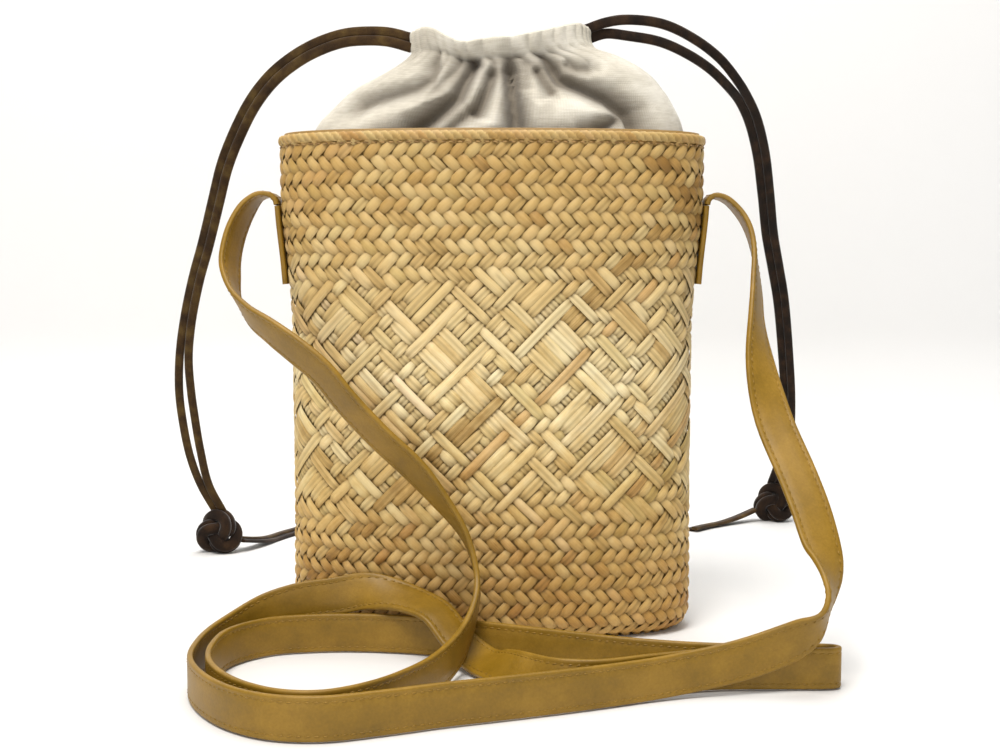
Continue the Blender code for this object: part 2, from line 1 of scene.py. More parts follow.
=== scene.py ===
# %% [markdown]
# # A raffia basket bag
# This lesson dresses a small basket bag: plaited straw, a gathered linen collar, suede drawstrings
# and a flat leather strap. The measured model is loaded first and stays as it is, so that every
# piece made here has a place to go. Lengths are in metres, +Z is up, and the front faces -Y.

# %% Load the measured model
import math

import bmesh
import bpy
import numpy as np
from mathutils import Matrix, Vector


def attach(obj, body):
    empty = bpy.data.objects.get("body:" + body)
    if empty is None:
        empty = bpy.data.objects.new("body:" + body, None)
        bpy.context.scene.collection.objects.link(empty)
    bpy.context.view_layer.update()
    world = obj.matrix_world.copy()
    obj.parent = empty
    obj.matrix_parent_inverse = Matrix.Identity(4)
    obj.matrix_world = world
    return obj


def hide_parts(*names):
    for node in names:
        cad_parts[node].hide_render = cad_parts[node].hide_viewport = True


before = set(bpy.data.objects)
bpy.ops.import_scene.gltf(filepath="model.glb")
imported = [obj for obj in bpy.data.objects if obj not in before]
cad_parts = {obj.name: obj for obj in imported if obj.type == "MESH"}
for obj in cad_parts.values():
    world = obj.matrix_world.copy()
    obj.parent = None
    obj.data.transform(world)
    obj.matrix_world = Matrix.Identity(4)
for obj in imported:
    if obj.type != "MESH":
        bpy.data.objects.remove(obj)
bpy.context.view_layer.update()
MM = 0.001
print("nodes:", ", ".join(sorted(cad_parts)))

# %% [markdown]
# ## Camera
# The bag was seen from in front, a little below its rim's height, through a short telephoto lens
# that looks down by less than five degrees. The camera comes first, because the cords are measured
# against what it sees.

# %% The camera
CAMERA_PLACE = (0.0032, -0.546, 0.148)
CAMERA_TILT = 4.8
LENS_MM = 48.67

camera_data = bpy.data.cameras.new("camera")
camera_data.lens = LENS_MM
camera_data.sensor_width = 36.0
camera_data.sensor_fit = "HORIZONTAL"
camera_data.clip_start = 0.01
camera = bpy.data.objects.new("camera", camera_data)
camera.location = CAMERA_PLACE
camera.rotation_euler = (math.radians(90.0 - CAMERA_TILT), 0.0, 0.0)
bpy.context.scene.collection.objects.link(camera)
bpy.context.scene.camera = camera
print("camera at", CAMERA_PLACE)

# %% [markdown]
# ## Two small helpers for finishes
# Colours are given as sRGB hex values, and a shader wants linear ones, so one function
# turns them. The other adds a node with its settings and links, which keeps each finish readable.

# %% Colour and node helpers


def linear(hex_colour):
    """A hex colour as the linear red, green, blue, alpha that a shader takes."""
    parts = [int(hex_colour[i:i + 2], 16) / 255.0 for i in (1, 3, 5)]
    turned = [part / 12.92 if part <= 0.04045 else ((part + 0.055) / 1.055) ** 2.4 for part in parts]
    return (*turned, 1.0)


def add_node(material, kind, inputs=None, **settings):
    """A node with its settings; an input is either a value or the socket that it is linked from."""
    tree = material.node_tree
    node = tree.nodes.new(kind)
    for name, value in settings.items():
        setattr(node, name, value)
    for name, value in (inputs or {}).items():
        if isinstance(value, bpy.types.NodeSocket):
            tree.links.new(value, node.inputs[name])
        else:
            node.inputs[name].default_value = value
    return node


def new_finish(name, roughness):
    material = bpy.data.materials.new(name)
    material.use_nodes = True
    shader = material.node_tree.nodes["Principled BSDF"]
    shader.inputs["Roughness"].default_value = roughness
    return material, shader


def set_ramp(node, stops):
    """Gives a colour ramp its stops, each a place and a hex colour."""
    ramp = node.color_ramp
    while len(ramp.elements) < len(stops):
        ramp.elements.new(1.0)
    for element, (place, hex_colour) in zip(ramp.elements, stops):
        element.position = place
        element.color = linear(hex_colour)


def link(material, start, end):
    material.node_tree.links.new(start, end)


# %% [markdown]
# ## Helpers for long thin pieces
# Straps, laces and straw are all one idea: a closed section carried along a line. A straight tube
# is spun up from a circle with its rings exactly one apart, so a vertex's own place says which ring
# and which corner it is. Its vertices are then moved to where the real piece lies.

# %% Straight tubes and their copies


def straight_tube(around, steps, capped=True):
    """A bmesh tube along Z from 0 to steps, with rings of the given number of corners."""
    bm = bmesh.new()
    ring = bmesh.ops.create_circle(bm, segments=around, radius=1.0)["verts"]
    edges = list({edge for vert in ring for edge in vert.link_edges})
    bmesh.ops.spin(bm, geom=edges, cent=(0, 0, 0), axis=(0, 0, 1), dvec=(0, 0, 1), angle=0.0,
                   steps=steps, use_merge=False, use_duplicate=False)
    if capped:
        bmesh.ops.holes_fill(bm, edges=[edge for edge in bm.edges if edge.is_boundary], sides=around)
    bmesh.ops.recalc_face_normals(bm, faces=bm.faces)
    return bm


def mesh_from(bm, name):
    mesh = bpy.data.meshes.new(name)
    bm.to_mesh(mesh)
    bm.free()
    return mesh


def read_points(mesh):
    points = np.empty(len(mesh.vertices) * 3)
    mesh.vertices.foreach_get("co", points)
    return points.reshape(-1, 3)


def write_points(mesh, points):
    mesh.vertices.foreach_set("co", np.ascontiguousarray(points).ravel())
    mesh.update()


def ring_and_corner(points, around):
    """Ring number and corner number of each vertex of a straight tube."""
    rings = np.rint(points[:, 2]).astype(int)
    corners = np.rint(np.arctan2(points[:, 1], points[:, 0]) / (2.0 * math.pi) * around).astype(int) % around
    return rings, corners


def make_copies(bm, name, count, spacing=10.0):
    """Many copies of one small mesh in one mesh, with the copy number and own place of each vertex."""
    template = bpy.data.objects.new(name, mesh_from(bm, name))
    bpy.context.scene.collection.objects.link(template)
    array = template.modifiers.new("copies", "ARRAY")
    array.count = count
    array.use_relative_offset = False
    array.use_constant_offset = True
    array.constant_offset_displace = (spacing, 0.0, 0.0)
    graph = bpy.context.evaluated_depsgraph_get()
    mesh = bpy.data.meshes.new_from_object(template.evaluated_get(graph))
    bpy.data.objects.remove(template, do_unlink=True)
    points = read_points(mesh)
    copy = np.rint(points[:, 0] / spacing).astype(int)
    points[:, 0] -= copy * spacing
    return mesh, copy, points


def add_attribute(mesh, name, values):
    layer = mesh.attributes.new(name, "FLOAT", "POINT")
    layer.data.foreach_set("value", np.ascontiguousarray(values, dtype=float))


def add_uv(mesh, along, across):
    """A UV map from one pair of lengths a vertex, so that fibres can run along a piece."""
    corner_vertex = np.empty(len(mesh.loops), dtype=int)
    mesh.loops.foreach_get("vertex_index", corner_vertex)
    layer = mesh.uv_layers.new(name="along_and_across")
    pairs = np.stack([along[corner_vertex], across[corner_vertex]], axis=1)
    layer.data.foreach_set("uv", pairs.ravel())


def make_piece(name, mesh, finishes, body="root"):
    """Links a finished mesh as a piece that rides on the bag."""
    piece = bpy.data.objects.new(name, mesh)
    bpy.context.scene.collection.objects.link(piece)
    mesh.name = name
    mesh.materials.clear()
    for finish in finishes:
        mesh.materials.append(finish)
    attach(piece, body)
    return piece


def count_triangles(mesh):
    return sum(len(polygon.vertices) - 2 for polygon in mesh.polygons)


# %% [markdown]
# ## The basket's outline
# The body is an oval with soft corners, narrowest at its middle and flared at the rim. The straw
# follows the same sections as the measured model. Distance round the oval is kept as a share of the
# way round, so that plaiting stays even from the wide front to the narrow sides.

# %% The basket's outline as a surface
BASKET_HEIGHT = 197.5 * MM
BASKET_HALF_WIDTH = 80.0 * MM
BASKET_HALF_DEPTH = 31.0 * MM
BASKET_WALL = 2.2 * MM
BASKET_SQUARENESS = 2.45
BASE_ROUNDING = 9.0 * MM
SEWN_GAP = 0.5 * MM

# Columns: height, half width and half depth as shares of the three sizes above.
BASKET_SECTIONS = [
    (0.000, 1.000, 0.940),
    (0.120, 1.003, 0.990),
    (0.320, 0.998, 1.050),
    (0.500, 1.000, 1.070),
    (0.630, 1.002, 1.060),
    (0.740, 1.020, 1.050),
    (0.860, 1.048, 1.060),
    (1.000, 1.052, 1.090),
]


def smooth_value(table, column, at):
    """A column of a table at a place along its first column, on a smooth line through the rows."""
    places = [row[0] for row in table]
    at = min(max(at, places[0]), places[-1])
    i = max(k for k, place in enumerate(places[:-1]) if place <= at)
    values = [row[column] for row in table]

    def slope(k):
        low = max(k - 1, 0)
        high = min(k + 1, len(table) - 1)
        return (values[high] - values[low]) / (places[high] - places[low])

    span = places[i + 1] - places[i]
    t = (at - places[i]) / span
    start = (2.0 * t ** 3 - 3.0 * t ** 2 + 1.0) * values[i] + (t ** 3 - 2.0 * t ** 2 + t) * span * slope(i)
    end = (3.0 * t ** 2 - 2.0 * t ** 3) * values[i + 1] + (t ** 3 - t ** 2) * span * slope(i + 1)
    return start + end


def smooth_column(table, column, places):
    """The same for many places at once, read off a fine list of the smooth line."""
    fine = np.linspace(table[0][0], table[-1][0], 200)
    return np.interp(places, fine, [smooth_value(table, column, at) for at in fine])


def rounded_power(values, squareness):
    return np.sign(values) * np.abs(values) ** (2.0 / squareness)


OVAL_ANGLES = np.linspace(0.0, 2.0 * math.pi, 7201)
OVAL_X = rounded_power(np.cos(OVAL_ANGLES), BASKET_SQUARENESS)
OVAL_Y = rounded_power(np.sin(OVAL_ANGLES), BASKET_SQUARENESS)
oval_steps = np.hypot(np.diff(OVAL_X) * BASKET_HALF_WIDTH, np.diff(OVAL_Y) * BASKET_HALF_DEPTH)
OVAL_WAY = np.concatenate([[0.0], np.cumsum(oval_steps)])
GIRTH = OVAL_WAY[-1]
OVAL_SHARES = OVAL_WAY / GIRTH
ROUNDING_ARC = 0.5 * math.pi * BASE_ROUNDING


def meridian(climb):
    """Height and inset of the outside at a climb, which is 0 where the wall leaves the rounded base."""
    turn = np.clip(-climb, 0.0, ROUNDING_ARC) / BASE_ROUNDING
    height = np.where(climb > 0.0, BASE_ROUNDING + climb, BASE_ROUNDING * (1.0 - np.sin(turn)))
    inset = BASE_ROUNDING * (1.0 - np.cos(turn)) + np.maximum(-climb - ROUNDING_ARC, 0.0)
    return height, inset


def basket_point(way, climb):
    """Points on the outside of the basket at a share of the way round and a climb."""
    height, inset = meridian(climb)
    share = height / BASKET_HEIGHT
    half_width = BASKET_HALF_WIDTH * smooth_column(BASKET_SECTIONS, 1, share) - inset
    half_depth = BASKET_HALF_DEPTH * smooth_column(BASKET_SECTIONS, 2, share) - inset
    x = half_width * np.interp(way % 1.0, OVAL_SHARES, OVAL_X)
    y = half_depth * np.interp(way % 1.0, OVAL_SHARES, OVAL_Y)
    return np.stack([x, y, height], axis=-1)


def unit(vectors):
    return vectors / np.maximum(np.linalg.norm(vectors, axis=-1, keepdims=True), 1e-12)


def basket_outward(way, climb):
    """The outward direction, from two short steps along the surface."""
    round_step = basket_point(way + 0.002, climb) - basket_point(way - 0.002, climb)
    climb_step = basket_point(way, climb + 0.8 * MM) - basket_point(way, climb - 0.8 * MM)
    return unit(np.cross(round_step, climb_step))


print("girth of the basket: %.0f mm" % (GIRTH * 1000))

# %% [markdown]
# ## Straw finish
# Pandan straw is a leaf, dried in the sun, split into flat strips and plaited by hand. It has fine
# fibres along its length, a soft sheen, and a colour that goes from cream to green, pink and brown
# from strip to strip. Each strip carries a tone and a hue as numbers on its mesh, and the finish
# reads them. A third number paints shade into the colour where the straw sinks or lies hidden. The
# fibres come from noise stretched along the strip's own UV map.

# %% The straw's finish
STRAW_FIBRE_WIDTH = 0.45 * MM
STRAW_BLOTCH = 9.0 * MM


def make_straw(name, darker):
    """Sun-dried pandan, split and plaited, with painted shade mixed in from a number on each mesh. Darker deepens that
    painted shade, from 0, the outside, to 1, deep in the plait.
    """
    material, shader = new_finish(name, 0.55)
    tone = add_node(material, "ShaderNodeAttribute", attribute_name="tone")
    hue = add_node(material, "ShaderNodeAttribute", attribute_name="hue")
    painted_shade = add_node(material, "ShaderNodeAttribute", attribute_name="painted_shade")
    place = add_node(material, "ShaderNodeTexCoord")
    along = add_node(material, "ShaderNodeUVMap", uv_map="along_and_across")
    fibre_way = add_node(material, "ShaderNodeMapping", {"Vector": along.outputs["UV"], "Scale": (0.05, 1.0, 1.0)})
    fibres = add_node(material, "ShaderNodeTexNoise", {
        "Vector": fibre_way.outputs["Vector"], "Scale": 1.0 / STRAW_FIBRE_WIDTH, "Detail": 3.0})
    blotches = add_node(material, "ShaderNodeTexNoise", {
        "Vector": place.outputs["Object"], "Scale": 1.0 / STRAW_BLOTCH, "Detail": 4.0, "Roughness": 0.6})
    tone_mix = add_node(material, "ShaderNodeMath", {0: blotches.outputs["Fac"], 1: 0.5, 2: tone.outputs["Fac"]},
                        operation="MULTIPLY_ADD")
    fibre_mix = add_node(material, "ShaderNodeMath", {
        0: fibres.outputs["Fac"], 1: 0.35, 2: tone_mix.outputs["Value"]}, operation="MULTIPLY_ADD")
    straw = add_node(material, "ShaderNodeValToRGB", {"Fac": fibre_mix.outputs["Value"]})
    set_ramp(straw, [(0.40, "#B4955F"), (0.58, "#D9BE8A"), (0.76, "#EED9AC"), (1.00, "#FAEFD0")])
    shade = add_node(material, "ShaderNodeValToRGB", {"Fac": hue.outputs["Fac"]})
    set_ramp(shade, [(0.00, "#D9D4A2"), (0.22, "#F3EFD8"), (0.72, "#FAF4E2"), (0.90, "#F4E4D2"), (1.00, "#E6CDA6")])
    tinted = add_node(material, "ShaderNodeMix", {
        "Factor": 0.75, 6: straw.outputs["Color"], 7: shade.outputs["Color"]}, data_type="RGBA", blend_type="MULTIPLY")
    # The straw's colour changes with height: darker towards the base and towards the rim, palest a little above the
    # middle.
    height = add_node(material, "ShaderNodeSeparateXYZ", {"Vector": place.outputs["Object"]})
    height_share = add_node(material, "ShaderNodeMath", {0: height.outputs["Z"], 1: BASKET_HEIGHT}, operation="DIVIDE")
    height_wave = add_node(material, "ShaderNodeMath", {
        0: blotches.outputs["Fac"], 1: 0.16, 2: height_share.outputs["Value"]}, operation="MULTIPLY_ADD")
    height_tint = add_node(material, "ShaderNodeValToRGB", {"Fac": height_wave.outputs["Value"]})
    set_ramp(height_tint, [(0.08, "#D3B888"), (0.22, "#D9C298"), (0.40, "#F0E6CC"), (0.62, "#FFFFFA"),
                          (0.84, "#E0D4BA"), (0.98, "#D2C09C")])
    height_tinted = add_node(material, "ShaderNodeMix", {
        "Factor": 1.0, 6: tinted.outputs[2], 7: height_tint.outputs["Color"]}, data_type="RGBA", blend_type="MULTIPLY")
    # Painted shade: dark olive brown is mixed in where a mesh marks its straw as sunk, hidden or recessed.
    shadow_share = add_node(material, "ShaderNodeMath", {0: painted_shade.outputs["Fac"], 1: 0.76 + 0.2 * darker, 2: 0.2 * darker},
                            operation="MULTIPLY_ADD")
    colour = add_node(material, "ShaderNodeMix", {
        "Factor": shadow_share.outputs["Value"], 6: height_tinted.outputs[2], 7: linear("#7A5F30")},
        data_type="RGBA", blend_type="MIX")
    link(material, colour.outputs[2], shader.inputs["Base Color"])
    bump = add_node(material, "ShaderNodeBump", {"Height": fibres.outputs["Fac"], "Strength": 0.35, "Distance": 0.15 * MM})
    link(material, bump.outputs["Normal"], shader.inputs["Normal"])
    shader.inputs["Specular IOR Level"].default_value = 0.35
    return material


straw_finish = make_straw("sun_dried_pandan_straw", 0.0)
print("finish:", straw_finish.name)

# %% [markdown]
# ## The plait
# Two families of strips run round the basket at forty-five degrees, one leaning right and one
# leaning left, and pass over and under each other. Near the rim and the base each goes over two and
# under two, which shows as rows of round nubs. In the middle the runs are three or four long and
# their steps drift, which gives the long slanting floats. One straight strip is copied by an array,
# and each copy is bent to its path.

# %% Where the strips lie
STRIPS = 72
STRIP_PITCH = GIRTH / STRIPS
CROSSING_CLIMB = 0.5 * STRIP_PITCH
STATIONS_PER_CROSSING = 4
PLAIT_BOTTOM = -ROUNDING_ARC - 4.0 * MM
PLAIT_TOP = BASKET_HEIGHT - BASE_ROUNDING - 2.6 * MM
PLAIT_RISE = 0.95 * MM
PLAIT_DEPTH = 0.85 * MM
STRIP_FILL = 0.445

# Section of one split strip. Columns: across as a share of the half width, and height.
STRIP_SECTION = [
    (-1.00, -0.34 * MM),
    (-0.55, 0.16 * MM),
    (0.00, 0.30 * MM),
    (0.55, 0.16 * MM),
    (1.00, -0.34 * MM),
]

# How many crossings one full over-and-under takes. Columns: share of the height, crossings.
PLAIT_REPEATS = [
    (0.00, 4.0),
    (0.20, 4.0),
    (0.30, 5.4),
    (0.45, 6.6),
    (0.62, 6.0),
    (0.74, 4.6),
    (0.82, 4.0),
    (1.00, 4.0),
]


def over_or_under(way, crossing):
    """+1 where the right-leaning strip is on top at a crossing, -1 where the left-leaning one is."""
    climb = crossing * CROSSING_CLIMB
    share = np.clip((climb + BASE_ROUNDING) / BASKET_HEIGHT, 0.0, 1.0)
    fine = np.linspace(-0.2, 1.0, 600)
    repeats = smooth_column(PLAIT_REPEATS, 1, fine)
    turns = np.concatenate([[0.0], np.cumsum(np.diff(fine) * BASKET_HEIGHT / CROSSING_CLIMB / repeats[:-1])])
    phase = np.interp(share, fine, turns)
    open_zone = np.clip((smooth_column(PLAIT_REPEATS, 1, share) - 4.3) / 1.5, 0.0, 1.0)
    drift = 0.30 * np.sin(2.0 * math.pi * (way * 9.0 + share * 2.0)) + 0.26 * np.sin(2.0 * math.pi * (way * 17.0 - share * 5.0))
    wave = np.sin(2.0 * math.pi * (phase + open_zone * drift) + 0.25 * math.pi)
    return np.where(wave >= 0.0, 1.0, -1.0)


print("strip pitch round the basket: %.2f mm" % (STRIP_PITCH * 1000))

# %% [markdown]
# Each half family of strips is one piece, so that no piece gets too heavy. A strip lifts where it
# goes over and sinks where it goes under, by less than the straw's own thickness, and it draws in
# a little where the other family presses on it.

# %% Plait the strips


def plait_strips(name, lean, first, count, seed):
    """One group of strips that lean right (+1) or left (-1), bent round the basket in one mesh."""
    random = np.random.default_rng(seed)
    crossings = int(math.ceil((PLAIT_TOP - PLAIT_BOTTOM) / CROSSING_CLIMB))
    steps = crossings * STATIONS_PER_CROSSING
    around = len(STRIP_SECTION)
    mesh, copy, points = make_copies(straight_tube(around, steps), name, count)
    ring, corner = ring_and_corner(points, around)

    climb = np.linspace(PLAIT_BOTTOM, PLAIT_TOP, steps + 1)
    strip = first + np.arange(count)
    way = (strip[:, None] / STRIPS) + lean * climb[None, :] / GIRTH
    level = climb / CROSSING_CLIMB
    below = np.floor(level)
    t = level - below
    ease = t * t * (3.0 - 2.0 * t)
    low_way = (strip[:, None] / STRIPS) + lean * (below * CROSSING_CLIMB)[None, :] / GIRTH
    high_way = (strip[:, None] / STRIPS) + lean * ((below + 1.0) * CROSSING_CLIMB)[None, :] / GIRTH
    low = lean * over_or_under(low_way, below[None, :] * np.ones_like(low_way))
    high = lean * over_or_under(high_way, (below[None, :] + 1.0) * np.ones_like(high_way))
    lift = low + (high - low) * ease[None, :]
    window = np.hanning(2 * STATIONS_PER_CROSSING + 1)
    window = window / window.sum()
    padded_lift = np.pad(lift, ((0, 0), (STATIONS_PER_CROSSING, STATIONS_PER_CROSSING)), mode="edge")
    lift = np.apply_along_axis(np.convolve, 1, padded_lift, window, mode="valid")

    climbs = np.broadcast_to(climb[None, :], way.shape)
    outward = basket_outward(way, climbs)
    centre = basket_point(way, climbs) + outward * (PLAIT_RISE * lift - PLAIT_DEPTH)[..., None]
    along = unit(np.gradient(centre, axis=1))
    across = unit(np.cross(outward, along))
    local_pitch = np.linalg.norm(basket_point(way + 0.5 / STRIPS, climbs) - basket_point(way - 0.5 / STRIPS, climbs), axis=-1)
    half_width = STRIP_FILL * local_pitch / math.sqrt(2.0) * (1.0 + 0.17 * lift)
    half_width = half_width * (1.0 + 0.16 * (random.random((count, 1)) - 0.6))
    shift = 0.10 * half_width * np.sin(2.0 * math.pi * (random.random((count, 1)) + climb[None, :] / (37.0 * MM)))

    section = np.array(STRIP_SECTION)
    split = random.random((count, 1)) + 0.35 * np.sin(2.0 * math.pi * (random.random((count, 1)) + climb[None, :] / (61.0 * MM)))
    open_zone = np.interp(np.clip((climb + BASE_ROUNDING) / BASKET_HEIGHT, 0.0, 1.0), [0.0, 0.22, 0.36, 0.66, 0.80, 1.0],
                          [0.0, 0.1, 1.0, 1.0, 0.1, 0.0])
    groove = np.clip((split - 0.95 + 0.82 * open_zone[None, :]) / 0.12, 0.0, 1.0)
    height = section[corner, 1].copy()
    ridge = corner == 2
    height[ridge] = 0.30 * MM - 0.58 * MM * groove[copy[ridge], ring[ridge]]
    centre = centre[copy, ring]
    placed = centre + across[copy, ring] * (section[corner, 0] * half_width[copy, ring] + shift[copy, ring])[:, None]
    placed += outward[copy, ring] * height[:, None]
    write_points(mesh, placed)

    tone = np.clip(0.33 + 0.09 * random.standard_normal(count), 0.1, 0.6)
    run = np.cumsum(np.abs(np.diff(lift, axis=1, prepend=lift[:, :1])) > 0.5, axis=1)
    run_tone = random.standard_normal((count, run.max() + 1))[np.arange(count)[:, None], run]
    run_hue = random.random((count, run.max() + 1))[np.arange(count)[:, None], run]
    hue = 0.55 * random.random((count, 1)) + 0.45 * run_hue
    add_attribute(mesh, "tone", tone[copy] + 0.06 * run_tone[copy, ring])
    add_attribute(mesh, "hue", hue[copy, ring])
    # Painted shade: each strip is darkened where it sinks under the other family, along both its edges and in its split
    # groove.
    edge_painted_shade = np.where((corner == 0) | (corner == 4), 0.45, 0.0)
    groove_painted_shade = np.where(ridge, 0.5 * groove[copy, ring], 0.0)
    sunk = np.clip(0.5 - 0.55 * lift[copy, ring], 0.0, 1.0)
    add_attribute(mesh, "painted_shade", sunk + 0.7 * edge_painted_shade + groove_painted_shade)
    length_along = climb[ring] * math.sqrt(2.0)
    add_uv(mesh, length_along + 0.013 * copy, section[corner, 0] * 2.0 * MM + 0.017 * copy)
    mesh.shade_smooth()
    mesh.set_sharp_from_angle(angle=math.radians(75.0))
    print(name, count_triangles(mesh), "triangles")
    return make_piece(name, mesh, [straw_finish])


half = STRIPS // 2
plait_pieces = [
    plait_strips("plait_leaning_right_a", 1.0, 0, half, 11),
    plait_strips("plait_leaning_right_b", 1.0, half, half, 12),
    plait_strips("plait_leaning_left_a", -1.0, 0, half, 13),
    plait_strips("plait_leaning_left_b", -1.0, half, half, 14),
]

# %% [markdown]
# ## The inner face of the plait
# Behind the strips the straw is a closed wall, seen between them and from inside. It is a plain
# shell on the same outline, a little smaller, with a wall given inwards after its faces are turned
# out.

# %% The basket's inner wall
BACKING_INSET = 1.75 * MM
BACKING_WALL = 0.45 * MM
BACKING_ROWS = 44
BACKING_SEGMENTS = 144


def make_backing():
    bm = straight_tube(BACKING_SEGMENTS, BACKING_ROWS, capped=False)
    bottom = [edge for edge in bm.edges if edge.is_boundary and edge.verts[0].co.z < 0.5]
    bmesh.ops.holes_fill(bm, edges=bottom, sides=BACKING_SEGMENTS)
    mesh = mesh_from(bm, "basket_inner_wall")
    ring, corner = ring_and_corner(read_points(mesh), BACKING_SEGMENTS)
    low = -ROUNDING_ARC - 8.0 * MM
    climbs = low + (PLAIT_TOP + 3.6 * MM - low) * ring / BACKING_ROWS
    ways = corner / BACKING_SEGMENTS
    placed = basket_point(ways, climbs) - basket_outward(ways, climbs) * BACKING_INSET
    write_points(mesh, placed)
    bm = bmesh.new()
    bm.from_mesh(mesh)
    bmesh.ops.recalc_face_normals(bm, faces=bm.faces)
    outermost = max(bm.faces, key=lambda face: face.calc_center_median().x)
    if outermost.normal.x < 0.0:
        bmesh.ops.reverse_faces(bm, faces=bm.faces)
    bm.to_mesh(mesh)
    bm.free()
    points = read_points(mesh)
    add_attribute(mesh, "tone", np.full(len(points), 0.25))
    add_attribute(mesh, "hue", np.full(len(points), 0.5))
    # Painted shade: the whole inner wall is darkened almost fully, for the shade it lies in behind the strips.
    add_attribute(mesh, "painted_shade", np.full(len(points), 0.9))
    add_uv(mesh, ways * GIRTH, climbs)
    mesh.shade_smooth()
    piece = make_piece("basket_inner_wall", mesh, [straw_finish])
    wall = piece.modifiers.new("wall", "SOLIDIFY")
    wall.thickness = BACKING_WALL
    wall.offset = -1.0
    return piece


inner_wall = make_backing()
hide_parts("basket_body")
print("inner wall made")

# %% [markdown]
# ## The hem
# At the rim the strips are folded over and tucked back, which makes a firm slanted band, and a row
# of running stitches in brown thread holds it. The band is a tube bent round the rim, with a shallow
# saw-tooth relief for the folded strips.

# %% The hem and its stitches
HEM_FOLDS = 120
HEM_STEPS_PER_FOLD = 7
HEM_RELIEF = 0.65 * MM

# Section of the hem, from its outer lower edge over the rim to its inner one. Columns: out from
# the basket's outline, and up from the rim.
HEM_SECTION = [
    (-0.90 * MM, -3.60 * MM),
    (0.00 * MM, -3.50 * MM),
    (0.45 * MM, -2.90 * MM),
    (0.60 * MM, -2.00 * MM),
    (0.50 * MM, -1.00 * MM),
    (0.15 * MM, -0.30 * MM),
    (-0.50 * MM, 0.00 * MM),
    (-1.30 * MM, -0.10 * MM),
    (-1.95 * MM, -0.80 * MM),
    (-2.20 * MM, -2.60 * MM),
    (-2.20 * MM, -5.60 * MM),
    (-1.60 * MM, -6.00 * MM),
]


def make_hem():
    around = len(HEM_SECTION)
    steps = HEM_FOLDS * HEM_STEPS_PER_FOLD
    mesh = mesh_from(straight_tube(around, steps, capped=False), "hem")
    ring, corner = ring_and_corner(read_points(mesh), around)
    section = np.array(HEM_SECTION)
    out = section[corner, 0]
    up = section[corner, 1]
    ways = ring / steps
    climb = BASKET_HEIGHT - BASE_ROUNDING + up
    saw = (ways * HEM_FOLDS + up / (3.4 * MM)) % 1.0
    relief = np.where(corner > 0, HEM_RELIEF * (saw ** 0.6 - 0.65), 0.0)
    inner = corner >= 9
    relief = np.where(inner, 0.3 * relief - 0.05 * MM, relief)
    outward = basket_outward(ways, np.minimum(climb, PLAIT_TOP))
    placed = basket_point(ways, np.minimum(climb, BASKET_HEIGHT - BASE_ROUNDING))
    placed[:, 2] = BASKET_HEIGHT + up
    side = outward * (out + np.where(out > -1.5 * MM, relief, -relief))[:, None]
    placed += side
    placed[:, 2] += np.where((corner >= 5) & (corner <= 7), 0.5 * relief, 0.0)
    write_points(mesh, placed)
    random = np.random.default_rng(31)
    fold_number = np.floor(ways * HEM_FOLDS + up / (3.4 * MM)).astype(int) % HEM_FOLDS
    add_attribute(mesh, "tone", np.clip(0.40 + 0.12 * random.standard_normal(HEM_FOLDS), 0.1, 0.7)[fold_number])
    add_attribute(mesh, "hue", (0.2 + 0.75 * random.random(HEM_FOLDS))[fold_number])
    # Painted shade: the hem is darkest along its lower outer edge, and each folded strip darker at its recessed start.
    add_attribute(mesh, "painted_shade", np.where(corner == 0, 1.2, 0.75 - 0.75 * saw))
    add_uv(mesh, (ways * GIRTH + up) * 0.7, (ways * GIRTH - up) * 0.7)
    bm = bmesh.new()
    bm.from_mesh(mesh)
    bmesh.ops.remove_doubles(bm, verts=bm.verts, dist=0.001 * MM)
    bmesh.ops.recalc_face_normals(bm, faces=bm.faces)
    bm.to_mesh(mesh)
    bm.free()
    mesh.shade_smooth()
    mesh.set_sharp_from_angle(angle=math.radians(60.0))
    print("hem", count_triangles(mesh), "triangles")
    return make_piece("hem", mesh, [straw_finish])


hem = make_hem()

# %% [markdown]
# ## Thread
# The stitches are waxed thread: short ellipsoids sunk by a third into what they hold. One small
# sphere is made, copied in one mesh, and each copy is turned and stretched to its own stitch.

# %% Rows of stitches


def place_stitches(name, centres, along, outward, length, width, thickness):
    """Many stitches in one mesh, each an ellipsoid at a centre, lying along one direction."""
    bm = bmesh.new()
    bmesh.ops.create_uvsphere(bm, u_segments=6, v_segments=4, radius=0.5)
    mesh, copy, points = make_copies(bm, name, len(centres))
    along = unit(along)
    across = unit(np.cross(outward, along))
    up = np.cross(along, across)
    placed = centres[copy]
    placed = placed + along[copy] * (points[:, 2:3] * length)
    placed = placed + across[copy] * (points[:, 0:1] * width)
    placed = placed + up[copy] * (points[:, 1:2] * thickness)
    write_points(mesh, placed)
    mesh.shade_smooth()
    return mesh


def make_thread(name, hex_light, hex_dark):
    """Waxed linen thread, twisted. A slanted fine ripple stands for its plies."""
    material, shader = new_finish(name, 0.6)
    place = add_node(material, "ShaderNodeTexCoord")
    plies = add_node(material, "ShaderNodeTexWave", {
        "Vector": place.outputs["Object"], "Scale": 1.0 / (0.9 * MM) / 6.0, "Distortion": 2.0}, bands_direction="DIAGONAL")
    colour = add_node(material, "ShaderNodeValToRGB", {"Fac": plies.outputs["Fac"]})
    set_ramp(colour, [(0.2, hex_dark), (0.8, hex_light)])
    link(material, colour.outputs["Color"], shader.inputs["Base Color"])
    bump = add_node(material, "ShaderNodeBump", {"Height": plies.outputs["Fac"], "Strength": 0.3, "Distance": 0.1 * MM})
    link(material, bump.outputs["Normal"], shader.inputs["Normal"])
    return material


brown_thread = make_thread("waxed_brown_thread", "#A5834C", "#7A5C2E")
cream_thread = make_thread("waxed_cream_thread", "#EAD9A2", "#CBB373")

